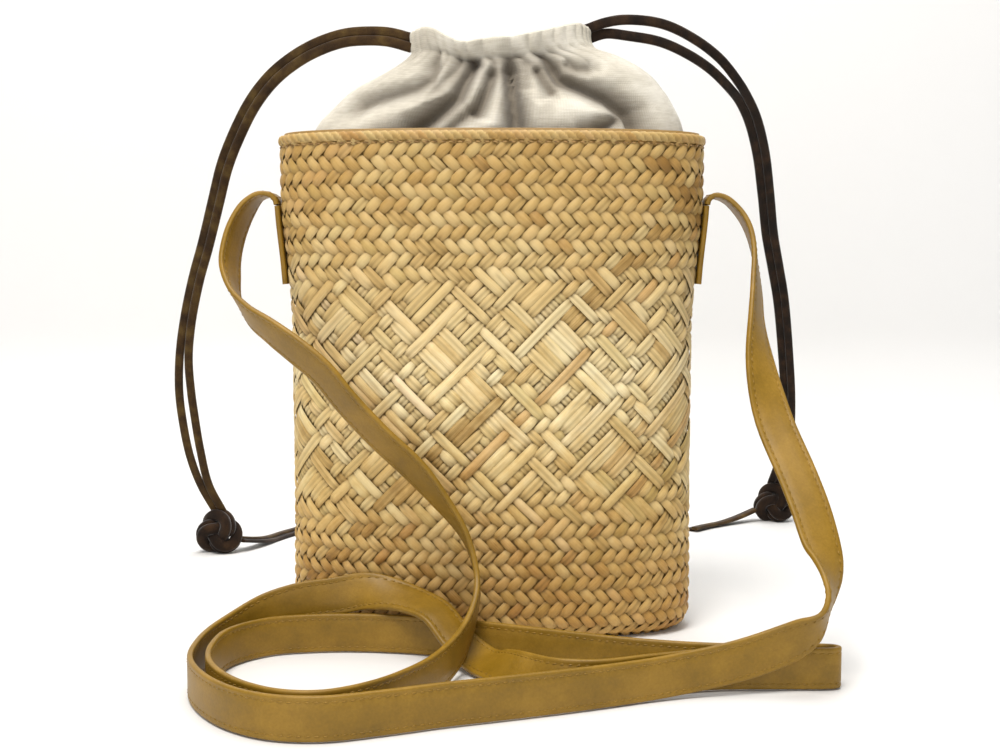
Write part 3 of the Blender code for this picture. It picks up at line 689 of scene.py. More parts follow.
HEM_STITCHES = 120
HEM_STITCH_CLIMB = BASKET_HEIGHT - BASE_ROUNDING - 4.3 * MM
stitch_ways = (np.arange(HEM_STITCHES) + 0.5) / HEM_STITCHES
stitch_climbs = np.full(HEM_STITCHES, HEM_STITCH_CLIMB)
stitch_out = basket_outward(stitch_ways, stitch_climbs)
stitch_centres = basket_point(stitch_ways, stitch_climbs) - stitch_out * 0.10 * MM
stitch_along = basket_point(stitch_ways + 0.002, stitch_climbs) - basket_point(stitch_ways - 0.002, stitch_climbs)
hem_stitch_mesh = place_stitches("hem_stitches", stitch_centres, stitch_along, stitch_out, 2.6 * MM, 0.8 * MM, 0.8 * MM)
hem_stitches = make_piece("hem_stitches", hem_stitch_mesh, [brown_thread])
print("hem stitches:", HEM_STITCHES)

# %% [markdown]
# ## The linen collar
# A tube of washed linen is sewn inside the rim, and a drawstring in its top hem gathers it. Real
# gathers are soft rolls parted by sharp creases, so each crease is a line across the cloth and the
# inset falls off quickly beside it. Small puckers crowd under the drawstring, and the frill above it
# stands up a little at both ends.

# %% The collar's outline
COLLAR_RISE = 37.5 * MM
COLLAR_SEWN_BELOW_RIM = 20.0 * MM
NECK_LEFT = 32.5 * MM
NECK_RIGHT = 39.5 * MM
NECK_HALF_DEPTH = 11.0 * MM
FRILL_LIFT = 6.5 * MM
FRILL_STARTS_AT = 0.5

# Columns: rise above the rim as a share of COLLAR_RISE, and how far the left side, the right side
# and the depth have drawn in from the rim's inner outline (0) to the neck's (1).
COLLAR_SECTIONS = [
    (-0.53, 0.000, 0.000, 0.000),
    (-0.25, 0.058, 0.031, 0.080),
    (0.02, 0.210, 0.126, 0.206),
    (0.18, 0.297, 0.181, 0.305),
    (0.34, 0.422, 0.257, 0.420),
    (0.50, 0.562, 0.351, 0.562),
    (0.64, 0.801, 0.493, 0.726),
    (0.76, 0.960, 0.718, 0.890),
    (0.84, 1.006, 0.962, 0.995),
    (0.92, 1.010, 1.014, 1.000),
    (1.00, 0.994, 1.000, 0.955),
]

# Top edge of the frill. Columns: place along the neck, and lift as a share of FRILL_LIFT.
FRILL_EDGE = [
    (-1.00, 0.55),
    (-0.80, 0.75),
    (-0.45, -0.10),
    (-0.15, 0.05),
    (0.20, 0.25),
    (0.60, 0.70),
    (0.85, 1.00),
    (1.00, 0.80),
]

# %% [markdown]
# The creases are listed as short lines seen from in front or from behind: where each crosses the
# cloth, how deep it is and how wide its valley. The rolls between them need no lines of their own.

# %% The creases
# Each crease: side (-1 front, +1 back), depth, breadth, and its line as (x, height above the rim)
# in millimetres.
CREASES = [
    (-1, 5.0, 5.0, [(-5.5, 31.0), (-8.5, 26.0), (-13.4, 14.0), (-24.5, 4.5), (-37.0, -4.0)]),
    (-1, 4.5, 3.4, [(0.9, 27.0), (-1.5, 17.0), (-4.5, 10.5), (-7.0, 5.0)]),
    (-1, 3.0, 3.0, [(-4.5, 10.5), (-16.0, 1.0), (-22.0, -4.0)]),
    (-1, 7.0, 3.6, [(7.0, 30.0), (8.0, 16.0), (9.3, 4.0), (10.0, -5.0)]),
    (-1, 5.2, 4.2, [(19.0, 32.0), (26.6, 21.0), (36.0, 17.5), (46.0, 13.5), (55.5, 7.0), (60.0, -4.0)]),
    (-1, 3.6, 3.2, [(16.5, 27.0), (21.0, 19.0), (24.5, 14.0)]),
    (-1, 3.2, 3.4, [(53.0, 5.5), (42.0, 1.0), (34.0, -4.0)]),
    (-1, 3.2, 4.0, [(-22.5, 32.0), (-24.5, 21.0), (-31.0, 17.0), (-47.0, 13.0), (-60.0, 8.0)]),
    (-1, 2.6, 3.0, [(28.0, 27.5), (34.5, 25.5), (40.5, 25.0)]),
    (-1, 2.2, 2.6, [(12.5, 30.0), (13.5, 22.0), (13.0, 16.0)]),
    (-1, 2.4, 2.8, [(-12.0, 33.0), (-16.0, 24.0), (-24.0, 15.0)]),
    (1, 5.0, 4.4, [(-17.0, 31.0), (-27.0, 17.0), (-42.0, 7.0), (-56.0, -4.0)]),
    (1, 4.5, 3.6, [(-8.0, 31.0), (-12.0, 16.0), (-19.0, -4.0)]),
    (1, 6.0, 3.8, [(2.0, 31.0), (0.0, 15.0), (-3.0, -4.0)]),
    (1, 3.8, 3.2, [(11.0, 31.0), (13.0, 19.0), (20.0, 8.0)]),
    (1, 5.2, 4.2, [(17.0, 31.0), (25.0, 18.0), (31.0, 4.0), (36.0, -4.0)]),
    (1, 4.4, 4.0, [(29.0, 31.0), (40.0, 21.0), (54.0, 10.0), (63.0, -4.0)]),
    (1, 2.4, 3.0, [(-25.0, 31.0), (-33.0, 23.0), (-49.0, 14.0)]),
]
PUCKER_DEPTH = 2.0 * MM
CREASE_PRESS = 2.0
ROLL_SWELL = 4.2
LINEN_AROUND = 400
LINEN_ROWS = 92
LINEN_WALL = 0.9 * MM


def crease_inset(side, x, up):
    """How far the creases of one side press the cloth in, and how far off the nearest one is, in mm."""
    total = np.zeros_like(x)
    clear = np.full_like(x, 1e9)
    for crease_side, depth, breadth, line in CREASES:
        if crease_side != side:
            continue
        nearest = np.full_like(x, 1e9)
        place = np.zeros_like(x)
        for number, (start, end) in enumerate(zip(line[:-1], line[1:])):
            run = np.array(end) - np.array(start)
            share = ((x - start[0]) * run[0] + (up - start[1]) * run[1]) / (run @ run)
            share = np.clip(share, 0.0, 1.0)
            distance = np.hypot(x - start[0] - share * run[0], up - start[1] - share * run[1])
            closer = distance < nearest
            nearest = np.where(closer, distance, nearest)
            place = np.where(closer, (number + share) / (len(line) - 1), place)
        fade = np.clip(4.0 * np.minimum(place + 0.12, 1.12 - place), 0.0, 1.0)
        soft = np.sqrt(nearest ** 2 + 0.9 ** 2) - 0.9
        total += (CREASE_PRESS * depth * fade * np.exp(-soft / breadth)) ** 3
        clear = np.minimum(clear, nearest + 6.0 * (1.0 - fade))
    return np.cbrt(total), clear


def make_linen(around, rows):
    """The gathered tube of linen, as rings from its sewn edge up to the frill."""
    mesh = mesh_from(straight_tube(around, rows, capped=False), "linen_collar")
    ring, corner = ring_and_corner(read_points(mesh), around)
    rise = -0.53 + 1.53 * (ring / rows)
    angle = 2.0 * math.pi * corner / around
    cosine = np.cos(angle)
    sine = np.sin(angle)
    x_share = rounded_power(cosine, BASKET_SQUARENESS)
    y_share = rounded_power(sine, BASKET_SQUARENESS)
    rim_share = np.minimum(1.0 + rise * COLLAR_RISE / BASKET_HEIGHT, 1.0)
    rim_width = BASKET_HALF_WIDTH * smooth_column(BASKET_SECTIONS, 1, rim_share) - BASKET_WALL - SEWN_GAP
    rim_depth = BASKET_HALF_DEPTH * smooth_column(BASKET_SECTIONS, 2, rim_share) - BASKET_WALL - SEWN_GAP
    left = rim_width + (NECK_LEFT - rim_width) * smooth_column(COLLAR_SECTIONS, 1, rise)
    right = rim_width + (NECK_RIGHT - rim_width) * smooth_column(COLLAR_SECTIONS, 2, rise)
    depth = rim_depth + (NECK_HALF_DEPTH - rim_depth) * smooth_column(COLLAR_SECTIONS, 3, rise)
    middle = 0.5 * (right - left)
    half_width = 0.5 * (right + left)

    lifted = np.maximum(rise - FRILL_STARTS_AT, 0.0) / (1.0 - FRILL_STARTS_AT)
    height = BASKET_HEIGHT + COLLAR_RISE * rise + FRILL_LIFT * smooth_column(FRILL_EDGE, 1, x_share) * lifted
    flat_x = (middle + half_width * x_share) / MM
    up = (height - BASKET_HEIGHT) / MM
    front_press, front_clear = crease_inset(-1, flat_x, up)
    back_press, back_clear = crease_inset(1, flat_x, up)
    press = np.where(sine < 0.0, front_press, back_press)
    clear = np.where(sine < 0.0, front_clear, back_clear)
    sideways = np.clip((np.abs(x_share) - 0.72) / 0.28, 0.0, 1.0)
    swell = ROLL_SWELL * (1.0 - 0.75 * sideways) * (1.0 - np.exp(-(clear / 6.0) ** 2)) * np.sin(math.pi * np.clip((rise + 0.02) / 0.80, 0.0, 1.0)) ** 0.8
    inset = press * MM
    inset *= np.clip(np.abs(y_share) * 2.2, 0.0, 1.0) * np.clip((rise + 0.40) / 0.25, 0.0, 1.0)
    inset -= swell * MM
    neck = np.clip((rise - 0.55) / 0.25, 0.0, 1.0)
    inset *= 1.0 - 0.45 * neck * np.clip((rise - 0.8) / 0.1, 0.0, 1.0)
    crowd = 0.25 + 0.75 * np.exp(-((x_share + 0.02) / 0.55) ** 2)
    wander = 0.5 * np.sin(3.0 * angle + 0.6) + 0.35 * np.sin(7.0 * angle + 2.0)
    pucker = 1.0 - np.abs(np.sin(19.0 * angle + wander + 0.35 * np.sin(9.0 * rise))) ** 0.7
    inset += PUCKER_DEPTH * neck * crowd * pucker
    fine = np.sin(41.0 * angle + 2.0 * np.sin(5.0 * angle)) * np.sin(14.0 * rise + 3.0 * np.cos(4.0 * angle))
    inset += 0.10 * MM * fine * np.clip((rise + 0.3) / 0.3, 0.0, 1.0)
    channel = np.exp(-((rise - 0.815) / 0.022) ** 2)
    puffed = np.clip((rise - 0.82) / 0.05, 0.0, 1.0) * np.clip((1.0 - rise) / 0.06, 0.0, 1.0)
    inset += 0.55 * MM * channel - 0.55 * MM * puffed
    roll = np.clip((rise - 0.965) / 0.035, 0.0, 1.0)
    inset += 0.5 * MM * roll ** 2
    inset = np.where(rise < 0.0, np.maximum(inset, 0.0), inset)

    x = middle + (half_width - inset * np.abs(cosine)) * x_share
    y = (depth - inset) * y_share
    write_points(mesh, np.stack([x, y, height], axis=1))
    add_uv(mesh, angle / (2.0 * math.pi) * GIRTH, rise * COLLAR_RISE * 1.5)
    # Painted shade: the cloth is darkened by how deep it is pressed in, more in the pucker valleys under the neck, and
    # a little everywhere below the frill, so that the frill stays lighter.
    frill = np.clip((rise - 0.80) / 0.05, 0.0, 1.0)
    crease_shade = np.clip(inset / (7.5 * MM), 0.0, 1.0) * (1.0 - 0.7 * frill) + (0.32 - 0.30 * frill) * neck * crowd * pucker + 0.17 * (1.0 - frill)
    add_attribute(mesh, "crease_shade", crease_shade)
    bm = bmesh.new()
    bm.from_mesh(mesh)
    bmesh.ops.recalc_face_normals(bm, faces=bm.faces)
    outermost = max(bm.faces, key=lambda face: face.calc_center_median().x)
    if outermost.normal.x < 0.0:
        bmesh.ops.reverse_faces(bm, faces=bm.faces)
    bm.to_mesh(mesh)
    bm.free()
    mesh.shade_smooth()
    area = sum(polygon.area for polygon in mesh.polygons)
    print("linen:", count_triangles(mesh), "triangles before its wall,", round(area, 4), "m2")
    return mesh


# %% [markdown]
# ## Linen finish
# Washed linen is a plain weave of uneven yarns about half a millimetre thick, which the picture
# cannot hold, so the yarns are drawn a little coarser. Slubs, small thick places in the yarn, give
# short pale streaks both ways. The cloth is matt, with a faint sheen from its loose fibres.

# %% The linen's finish
# A wave texture of scale 1 has bands 0.314 apart.
WAVE_SCALE = 0.314
LINEN_YARN = 0.9 * MM


def make_linen_finish():
    material, shader = new_finish("washed_linen_plain_weave", 0.92)
    flat = add_node(material, "ShaderNodeUVMap", uv_map="along_and_across")
    place = add_node(material, "ShaderNodeTexCoord")
    warp = add_node(material, "ShaderNodeTexWave", {
        "Vector": flat.outputs["UV"], "Scale": WAVE_SCALE / LINEN_YARN, "Distortion": 1.2, "Detail": 2.0,
        "Detail Scale": 2.0}, bands_direction="X")
    weft = add_node(material, "ShaderNodeTexWave", {
        "Vector": flat.outputs["UV"], "Scale": WAVE_SCALE / LINEN_YARN, "Distortion": 1.2, "Detail": 2.0,
        "Detail Scale": 2.0}, bands_direction="Y")
    weave = add_node(material, "ShaderNodeMath", {0: warp.outputs["Fac"], 1: weft.outputs["Fac"]}, operation="MULTIPLY")
    slub_way = add_node(material, "ShaderNodeMapping", {"Vector": flat.outputs["UV"], "Scale": (0.16, 1.0, 1.0)})
    slubs = add_node(material, "ShaderNodeTexNoise", {
        "Vector": slub_way.outputs["Vector"], "Scale": 1.0 / (1.6 * MM), "Detail": 3.0, "Roughness": 0.65})
    cloud = add_node(material, "ShaderNodeTexNoise", {
        "Vector": place.outputs["Object"], "Scale": 1.0 / (14.0 * MM), "Detail": 3.0})
    mixed = add_node(material, "ShaderNodeMath", {0: slubs.outputs["Fac"], 1: 0.55, 2: cloud.outputs["Fac"]},
                     operation="MULTIPLY_ADD")
    cloth = add_node(material, "ShaderNodeValToRGB", {"Fac": mixed.outputs["Value"]})
    set_ramp(cloth, [(0.45, "#B5AE9E"), (0.72, "#CCC6B7"), (0.95, "#DDD8CB")])
    yarns = add_node(material, "ShaderNodeMix", {
        "Factor": 0.07, 6: cloth.outputs["Color"], 7: weave.outputs["Value"]}, data_type="RGBA", blend_type="OVERLAY")
    # Painted shade: the cloth's colour is mixed towards a dark grey-brown by the shade number that the collar carries.
    crease_shade = add_node(material, "ShaderNodeAttribute", attribute_name="crease_shade")
    crease_shade_share = add_node(material, "ShaderNodeMath", {0: crease_shade.outputs["Fac"], 1: 0.72}, operation="MULTIPLY")
    shaded = add_node(material, "ShaderNodeMix", {
        "Factor": crease_shade_share.outputs["Value"], 6: yarns.outputs[2], 7: linear("#5E5446")}, data_type="RGBA")
    link(material, shaded.outputs[2], shader.inputs["Base Color"])
    rough_height = add_node(material, "ShaderNodeMath", {
        0: slubs.outputs["Fac"], 1: 0.8, 2: weave.outputs["Value"]}, operation="MULTIPLY_ADD")
    bump = add_node(material, "ShaderNodeBump", {"Height": rough_height.outputs["Value"], "Strength": 0.4,
                                                 "Distance": 0.25 * MM})
    link(material, bump.outputs["Normal"], shader.inputs["Normal"])
    shader.inputs["Sheen Weight"].default_value = 0.15
    shader.inputs["Sheen Roughness"].default_value = 0.5
    shader.inputs["Specular IOR Level"].default_value = 0.2
    return material


linen_finish = make_linen_finish()
linen_collar = make_piece("linen_collar", make_linen(LINEN_AROUND, LINEN_ROWS), [linen_finish])
linen_wall = linen_collar.modifiers.new("wall", "SOLIDIFY")
linen_wall.thickness = LINEN_WALL
linen_wall.offset = -1.0
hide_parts("linen_pouch")

# %% [markdown]
# ## Leather and suede finishes
# The strap is smooth drum-dyed cow leather, khaki on its faces and left raw on its cut edges, which
# show as a pale line. The drawstrings are split suede: no shine, a short nap, and darker where hands
# have pressed it.

# %% The leather's finishes


def make_leather():
    """Drum-dyed cow leather with a fine pebbled grain of about 0.7 mm and soft waxy sheen."""
    material, shader = new_finish("drum_dyed_khaki_leather", 0.46)
    place = add_node(material, "ShaderNodeTexCoord")
    grain = add_node(material, "ShaderNodeTexVoronoi", {
        "Vector": place.outputs["Object"], "Scale": 1.0 / (0.7 * MM)}, feature="SMOOTH_F1")
    clouds = add_node(material, "ShaderNodeTexNoise", {
        "Vector": place.outputs["Object"], "Scale": 1.0 / (16.0 * MM), "Detail": 5.0, "Roughness": 0.6})
    pores = add_node(material, "ShaderNodeTexNoise", {
        "Vector": place.outputs["Object"], "Scale": 1.0 / (0.9 * MM), "Detail": 2.0})
    blend = add_node(material, "ShaderNodeMath", {0: pores.outputs["Fac"], 1: 0.3, 2: clouds.outputs["Fac"]},
                     operation="MULTIPLY_ADD")
    colour = add_node(material, "ShaderNodeValToRGB", {"Fac": blend.outputs["Value"]})
    set_ramp(colour, [(0.42, "#775A0E"), (0.65, "#876614"), (0.88, "#987420")])
    link(material, colour.outputs["Color"], shader.inputs["Base Color"])
    shine = add_node(material, "ShaderNodeMapRange", {
        "Value": clouds.outputs["Fac"], "To Min": 0.38, "To Max": 0.56})
    link(material, shine.outputs["Result"], shader.inputs["Roughness"])
    height = add_node(material, "ShaderNodeMath", {0: pores.outputs["Fac"], 1: 0.5, 2: grain.outputs["Distance"]},
                      operation="MULTIPLY_ADD")
    bump = add_node(material, "ShaderNodeBump", {"Height": height.outputs["Value"], "Strength": 0.25,
                                                 "Distance": 0.12 * MM})
    link(material, bump.outputs["Normal"], shader.inputs["Normal"])
    shader.inputs["Specular IOR Level"].default_value = 0.4
    return material


def make_raw_edge():
    """The cut edge of vegetable-retanned leather, pale and fibrous, sanded but not painted."""
    material, shader = new_finish("sanded_raw_leather_edge", 0.7)
    place = add_node(material, "ShaderNodeTexCoord")
    fibre = add_node(material, "ShaderNodeTexNoise", {
        "Vector": place.outputs["Object"], "Scale": 1.0 / (0.8 * MM), "Detail": 4.0})
    colour = add_node(material, "ShaderNodeValToRGB", {"Fac": fibre.outputs["Fac"]})
    set_ramp(colour, [(0.30, "#9A7C3C"), (0.65, "#BFA162")])
    link(material, colour.outputs["Color"], shader.inputs["Base Color"])
    bump = add_node(material, "ShaderNodeBump", {"Height": fibre.outputs["Fac"], "Strength": 0.3, "Distance": 0.1 * MM})
    link(material, bump.outputs["Normal"], shader.inputs["Normal"])
    return material


def make_suede(name, dark, middle, light):
    """Split suede, brushed. The nap is a fine noise, and pressed places are darker clouds."""
    material, shader = new_finish(name, 0.85)
    place = add_node(material, "ShaderNodeTexCoord")
    nap = add_node(material, "ShaderNodeTexNoise", {
        "Vector": place.outputs["Object"], "Scale": 1.0 / (0.5 * MM), "Detail": 5.0, "Roughness": 0.7})
    pressed = add_node(material, "ShaderNodeTexNoise", {
        "Vector": place.outputs["Object"], "Scale": 1.0 / (7.0 * MM), "Detail": 3.0})
    blend = add_node(material, "ShaderNodeMath", {0: nap.outputs["Fac"], 1: 0.45, 2: pressed.outputs["Fac"]},
                     operation="MULTIPLY_ADD")
    colour = add_node(material, "ShaderNodeValToRGB", {"Fac": blend.outputs["Value"]})
    set_ramp(colour, [(0.45, dark), (0.72, middle), (0.98, light)])
    link(material, colour.outputs["Color"], shader.inputs["Base Color"])
    bump = add_node(material, "ShaderNodeBump", {"Height": nap.outputs["Fac"], "Strength": 0.5, "Distance": 0.15 * MM})
    link(material, bump.outputs["Normal"], shader.inputs["Normal"])
    shader.inputs["Sheen Weight"].default_value = 0.25
    shader.inputs["Sheen Roughness"].default_value = 0.4
    shader.inputs["Specular IOR Level"].default_value = 0.15
    return material


leather_finish = make_leather()
raw_edge_finish = make_raw_edge()
dark_suede = make_suede("brushed_split_suede_dark", "#120B06", "#22160D", "#3A2817")
brown_suede = make_suede("brushed_split_suede_brown", "#24170B", "#3E2C15", "#5A4622")
print("finishes:", leather_finish.name, raw_edge_finish.name, dark_suede.name, brown_suede.name)

# %% [markdown]
# ## Smooth routes
# The strap and the laces follow the same points as their solids, on one smooth curve. Each row also
# holds the direction across the band, which is squared to the path before it is used.

# %% A smooth curve through rows, and frames along it


def smooth_through(rows, steps):
    """Rows on one centripetal curve through every given row, with some steps to each span."""
    given = np.array(rows)
    before = 2.0 * given[0] - given[1]
    after = 2.0 * given[-1] - given[-2]
    points = np.vstack([before, given, after])
    spans = np.linalg.norm(np.diff(points[:, :3], axis=0), axis=1)
    knots = np.concatenate([[0.0], np.cumsum(np.sqrt(spans))])
    result = []
    for i in range(1, len(points) - 2):
        t0, t1, t2, t3 = knots[i - 1:i + 3]
        p0, p1, p2, p3 = points[i - 1:i + 3]
        for step in range(steps):
            t = t1 + (t2 - t1) * step / steps
            a1 = (t1 - t) / (t1 - t0) * p0 + (t - t0) / (t1 - t0) * p1
            a2 = (t2 - t) / (t2 - t1) * p1 + (t - t1) / (t2 - t1) * p2
            a3 = (t3 - t) / (t3 - t2) * p2 + (t - t2) / (t3 - t2) * p3
            b1 = (t2 - t) / (t2 - t0) * a1 + (t - t0) / (t2 - t0) * a2
            b2 = (t3 - t) / (t3 - t1) * a2 + (t - t1) / (t3 - t1) * a3
            result.append((t2 - t) / (t2 - t1) * b1 + (t - t1) / (t2 - t1) * b2)
    result.append(given[-1])
    return np.array(result)


def band_frames(rows):
    """Middles, across directions and face directions along a band."""
    middles = rows[:, :3]
    along = unit(np.gradient(middles, axis=0))
    across = rows[:, 3:6]
    across = unit(across - np.sum(across * along, axis=1)[:, None] * along)
    return middles, across, np.cross(along, across)


def way_along(middles):
    return np.concatenate([[0.0], np.cumsum(np.linalg.norm(np.diff(middles, axis=0), axis=1))])


def bend_band(name, rows, section, closed=False):
    """A band of the given section, bent along rows of middle and across direction."""
    around = len(section)
    steps = len(rows) - 1
    mesh = mesh_from(straight_tube(around, steps, capped=not closed), name)
    ring, corner = ring_and_corner(read_points(mesh), around)
    middles, across, face = band_frames(rows)
    shape = np.array(section)
    placed = middles[ring] + across[ring] * shape[corner, 0:1] + face[ring] * shape[corner, 1:2]
    write_points(mesh, placed)
    along = way_along(middles)
    add_uv(mesh, along[ring], shape[corner, 0] + 0.3 * shape[corner, 1])
    return mesh, ring, corner


def turn_out(mesh, weld=0.0):
    """Faces outwards again after the bending, and joined ends where a band is a ring."""
    bm = bmesh.new()
    bm.from_mesh(mesh)
    if weld:
        bmesh.ops.remove_doubles(bm, verts=bm.verts, dist=weld)
    bmesh.ops.recalc_face_normals(bm, faces=bm.faces)
    bm.to_mesh(mesh)
    bm.free()


def join_meshes(name, meshes):
    """One mesh from several, each with a finish number for its faces."""
    joined = bmesh.new()
    for mesh, finish_number in meshes:
        before = len(joined.faces)
        joined.from_mesh(mesh)
        joined.faces.ensure_lookup_table()
        if finish_number is not None:
            for face in joined.faces[before:]:
                face.material_index = finish_number
    return mesh_from(joined, name)


# %% [markdown]
# ## The shoulder strap
# One band of leather, 14.5 mm wide and 2 mm thick, runs from the left tab down across the front,
# round the floor in two loops and up to the right tab. Its section has softly broken edges and a
# shallow groove for each row of stitches. The row after row of small stitches goes on both faces.

# %% The strap's route
# Columns: x, y, z, and the direction across the strap that ends up as its upper edge.
STRAP_ROUTE = [
    (-0.0855, 0.0000, 0.1709, 0.00, -1.00, 0.00),
    (-0.0860, 0.0000, 0.1728, 0.00, -1.00, 0.00),
    (-0.0882, -0.0002, 0.1748, 0.00, -1.00, 0.00),
    (-0.0925, -0.0007, 0.1745, -0.05, -1.00, 0.05),
    (-0.0971, -0.0020, 0.1700, -0.20, -0.96, 0.15),
    (-0.1010, -0.0050, 0.1621, -0.30, -0.93, 0.15),
    (-0.1031, -0.0090, 0.1525, -0.32, -0.93, 0.10),
    (-0.1029, -0.0130, 0.1443, -0.28, -0.95, 0.10),
    (-0.1001, -0.0180, 0.1350, 0.00, -0.98, 0.20),
    (-0.0933, -0.0250, 0.1274, 0.28, -0.90, 0.32),
    (-0.0846, -0.0310, 0.1219, 0.42, -0.80, 0.42),
    (-0.0743, -0.0360, 0.1150, 0.50, -0.72, 0.48),
    (-0.0638, -0.0390, 0.1066, 0.52, -0.70, 0.48),
    (-0.0551, -0.0400, 0.0961, 0.52, -0.70, 0.48),
    (-0.0427, -0.0415, 0.0830, 0.52, -0.70, 0.48),
    (-0.0287, -0.0430, 0.0700, 0.50, -0.72, 0.48),
    (-0.0197, -0.0435, 0.0593, 0.40, -0.84, 0.36),
    (-0.0112, -0.0438, 0.0475, 0.22, -0.94, 0.22),
    (-0.0070, -0.0450, 0.0380, 0.08, -0.98, 0.16),
    (-0.0052, -0.0490, 0.0285, 0.00, -0.94, 0.34),
    (-0.0062, -0.0570, 0.0202, 0.00, -0.75, 0.66),
    (-0.0104, -0.0715, 0.0120, 0.00, -0.35, 0.94),
    (-0.0185, -0.0930, 0.0080, 0.00, -0.05, 1.00),
    (-0.0280, -0.1120, 0.0078, 0.00, 0.00, 1.00),
    (-0.0390, -0.1255, 0.0078, 0.00, 0.00, 1.00),
    (-0.0520, -0.1335, 0.0078, 0.00, 0.00, 1.00),
    (-0.0650, -0.1330, 0.0078, 0.00, 0.00, 1.00),
    (-0.0775, -0.1255, 0.0078, 0.00, 0.00, 1.00),
    (-0.0880, -0.1135, 0.0078, 0.00, 0.00, 1.00),
    (-0.0955, -0.0980, 0.0078, 0.00, 0.00, 1.00),
    (-0.0980, -0.0800, 0.0078, 0.00, 0.00, 1.00),
    (-0.0955, -0.0610, 0.0078, 0.00, 0.00, 1.00),
    (-0.0840, -0.0475, 0.0078, 0.00, 0.00, 1.00),
    (-0.0690, -0.0428, 0.0078, 0.00, 0.00, 1.00),
    (-0.0490, -0.0418, 0.0078, 0.00, 0.00, 1.00),
    (-0.0270, -0.0455, 0.0078, 0.00, 0.00, 1.00),
    (-0.0040, -0.0525, 0.0078, 0.00, 0.00, 1.00),
    (0.0220, -0.0635, 0.0078, 0.00, 0.00, 1.00),
    (0.0520, -0.0755, 0.0078, 0.00, 0.00, 1.00),
    (0.0800, -0.0817, 0.0078, 0.00, 0.00, 1.00),
    (0.1030, -0.0825, 0.0078, 0.00, 0.00, 1.00),
    (0.1175, -0.0826, 0.0078, 0.00, 0.00, 1.00),
    (0.1203, -0.0836, 0.0078, 0.00, 0.00, 1.00),
    (0.1211, -0.0850, 0.0078, 0.00, 0.00, 1.00),
    (0.1203, -0.0864, 0.0078, 0.00, 0.00, 1.00),
    (0.1175, -0.0874, 0.0078, 0.00, 0.00, 1.00),
    (0.1000, -0.0876, 0.0078, 0.00, 0.00, 1.00),
    (0.0760, -0.0886, 0.0078, 0.00, 0.00, 1.00),
    (0.0540, -0.0950, 0.0078, 0.00, 0.00, 1.00),
    (0.0370, -0.1010, 0.0078, 0.00, 0.00, 1.00),
    (0.0220, -0.1000, 0.0077, 0.05, 0.20, 0.97),
    (0.0110, -0.0900, 0.0070, 0.25, 0.40, 0.87),
    (0.0030, -0.0780, 0.0060, 0.60, 0.50, 0.60),
    (-0.0040, -0.0660, 0.0046, 0.78, 0.50, 0.30),
    (-0.0124, -0.0578, 0.0098, 0.72, 0.62, 0.12),
    (-0.0204, -0.0507, 0.0178, 0.62, 0.75, 0.22),
    (-0.0290, -0.0443, 0.0205, 0.45, 0.80, 0.35),
    (-0.0390, -0.0395, 0.0222, 0.30, 0.70, 0.60),
    (-0.0490, -0.0358, 0.0222, 0.15, 0.35, 0.90),
    (-0.0600, -0.0345, 0.0200, 0.05, 0.15, 0.98),
    (-0.0720, -0.0350, 0.0185, 0.00, 0.05, 1.00),
    (-0.0850, -0.0375, 0.0150, 0.00, 0.08, 1.00),
    (-0.0960, -0.0460, 0.0105, 0.00, 0.00, 1.00),
    (-0.1025, -0.0600, 0.0082, 0.00, 0.00, 1.00),
    (-0.1040, -0.0790, 0.0078, 0.00, 0.00, 1.00),
    (-0.1020, -0.0970, 0.0078, 0.00, 0.00, 1.00),
    (-0.0945, -0.1140, 0.0078, 0.00, 0.00, 1.00),
    (-0.0830, -0.1285, 0.0078, 0.00, 0.00, 1.00),
    (-0.0690, -0.1375, 0.0078, 0.00, 0.00, 1.00),
    (-0.0520, -0.1395, 0.0078, 0.00, 0.00, 1.00),
    (-0.0330, -0.1335, 0.0078, 0.00, 0.00, 1.00),
    (-0.0150, -0.1262, 0.0078, 0.00, 0.00, 1.00),
    (0.0030, -0.1200, 0.0078, 0.00, 0.00, 1.00),
    (0.0200, -0.1140, 0.0078, 0.00, 0.00, 1.00),
    (0.0370, -0.1075, 0.0078, 0.00, 0.00, 1.00),
    (0.0540, -0.1005, 0.0080, 0.00, 0.00, 1.00),
    (0.0680, -0.0960, 0.0092, 0.00, 0.00, 1.00),
    (0.0800, -0.0940, 0.0112, 0.00, 0.00, 1.00),
    (0.0890, -0.0928, 0.0133, 0.00, 0.00, 1.00),
    (0.0970, -0.0924, 0.0160, 0.00, -0.06, 1.00),
    (0.1060, -0.0922, 0.0200, 0.00, -0.25, 0.96),
    (0.1130, -0.0918, 0.0252, -0.10, -0.65, 0.72),
    (0.1162, -0.0898, 0.0315, -0.28, -0.90, 0.33),
    (0.1174, -0.0862, 0.0374, -0.50, -0.85, 0.15),
    (0.1176, -0.0812, 0.0434, -0.75, -0.62, 0.10),
    (0.1165, -0.0755, 0.0495, -0.93, -0.25, 0.00),
    (0.1143, -0.0680, 0.0602, -0.98, -0.12, -0.10),
    (0.1110, -0.0600, 0.0715, -1.00, -0.08, -0.15),
    (0.1050, -0.0470, 0.0897, -1.00, -0.15, -0.15),
    (0.1023, -0.0360, 0.1075, -0.85, -0.50, 0.10),
    (0.1023, -0.0250, 0.1259, -0.50, -0.85, 0.20),
    (0.1034, -0.0170, 0.1392, -0.35, -0.92, 0.15),
    (0.1035, -0.0100, 0.1529, -0.15, -0.98, 0.10),
    (0.1017, -0.0060, 0.1616, -0.05, -1.00, 0.05),
    (0.0982, -0.0030, 0.1682, 0.00, -1.00, 0.00),
    (0.0932, -0.0010, 0.1732, 0.00, -1.00, 0.00),
    (0.0886, -0.0002, 0.1745, 0.00, -1.00, 0.00),
    (0.0861, 0.0000, 0.1728, 0.00, -1.00, 0.00),
    (0.0855, 0.0000, 0.1709, 0.00, -1.00, 0.00),
]

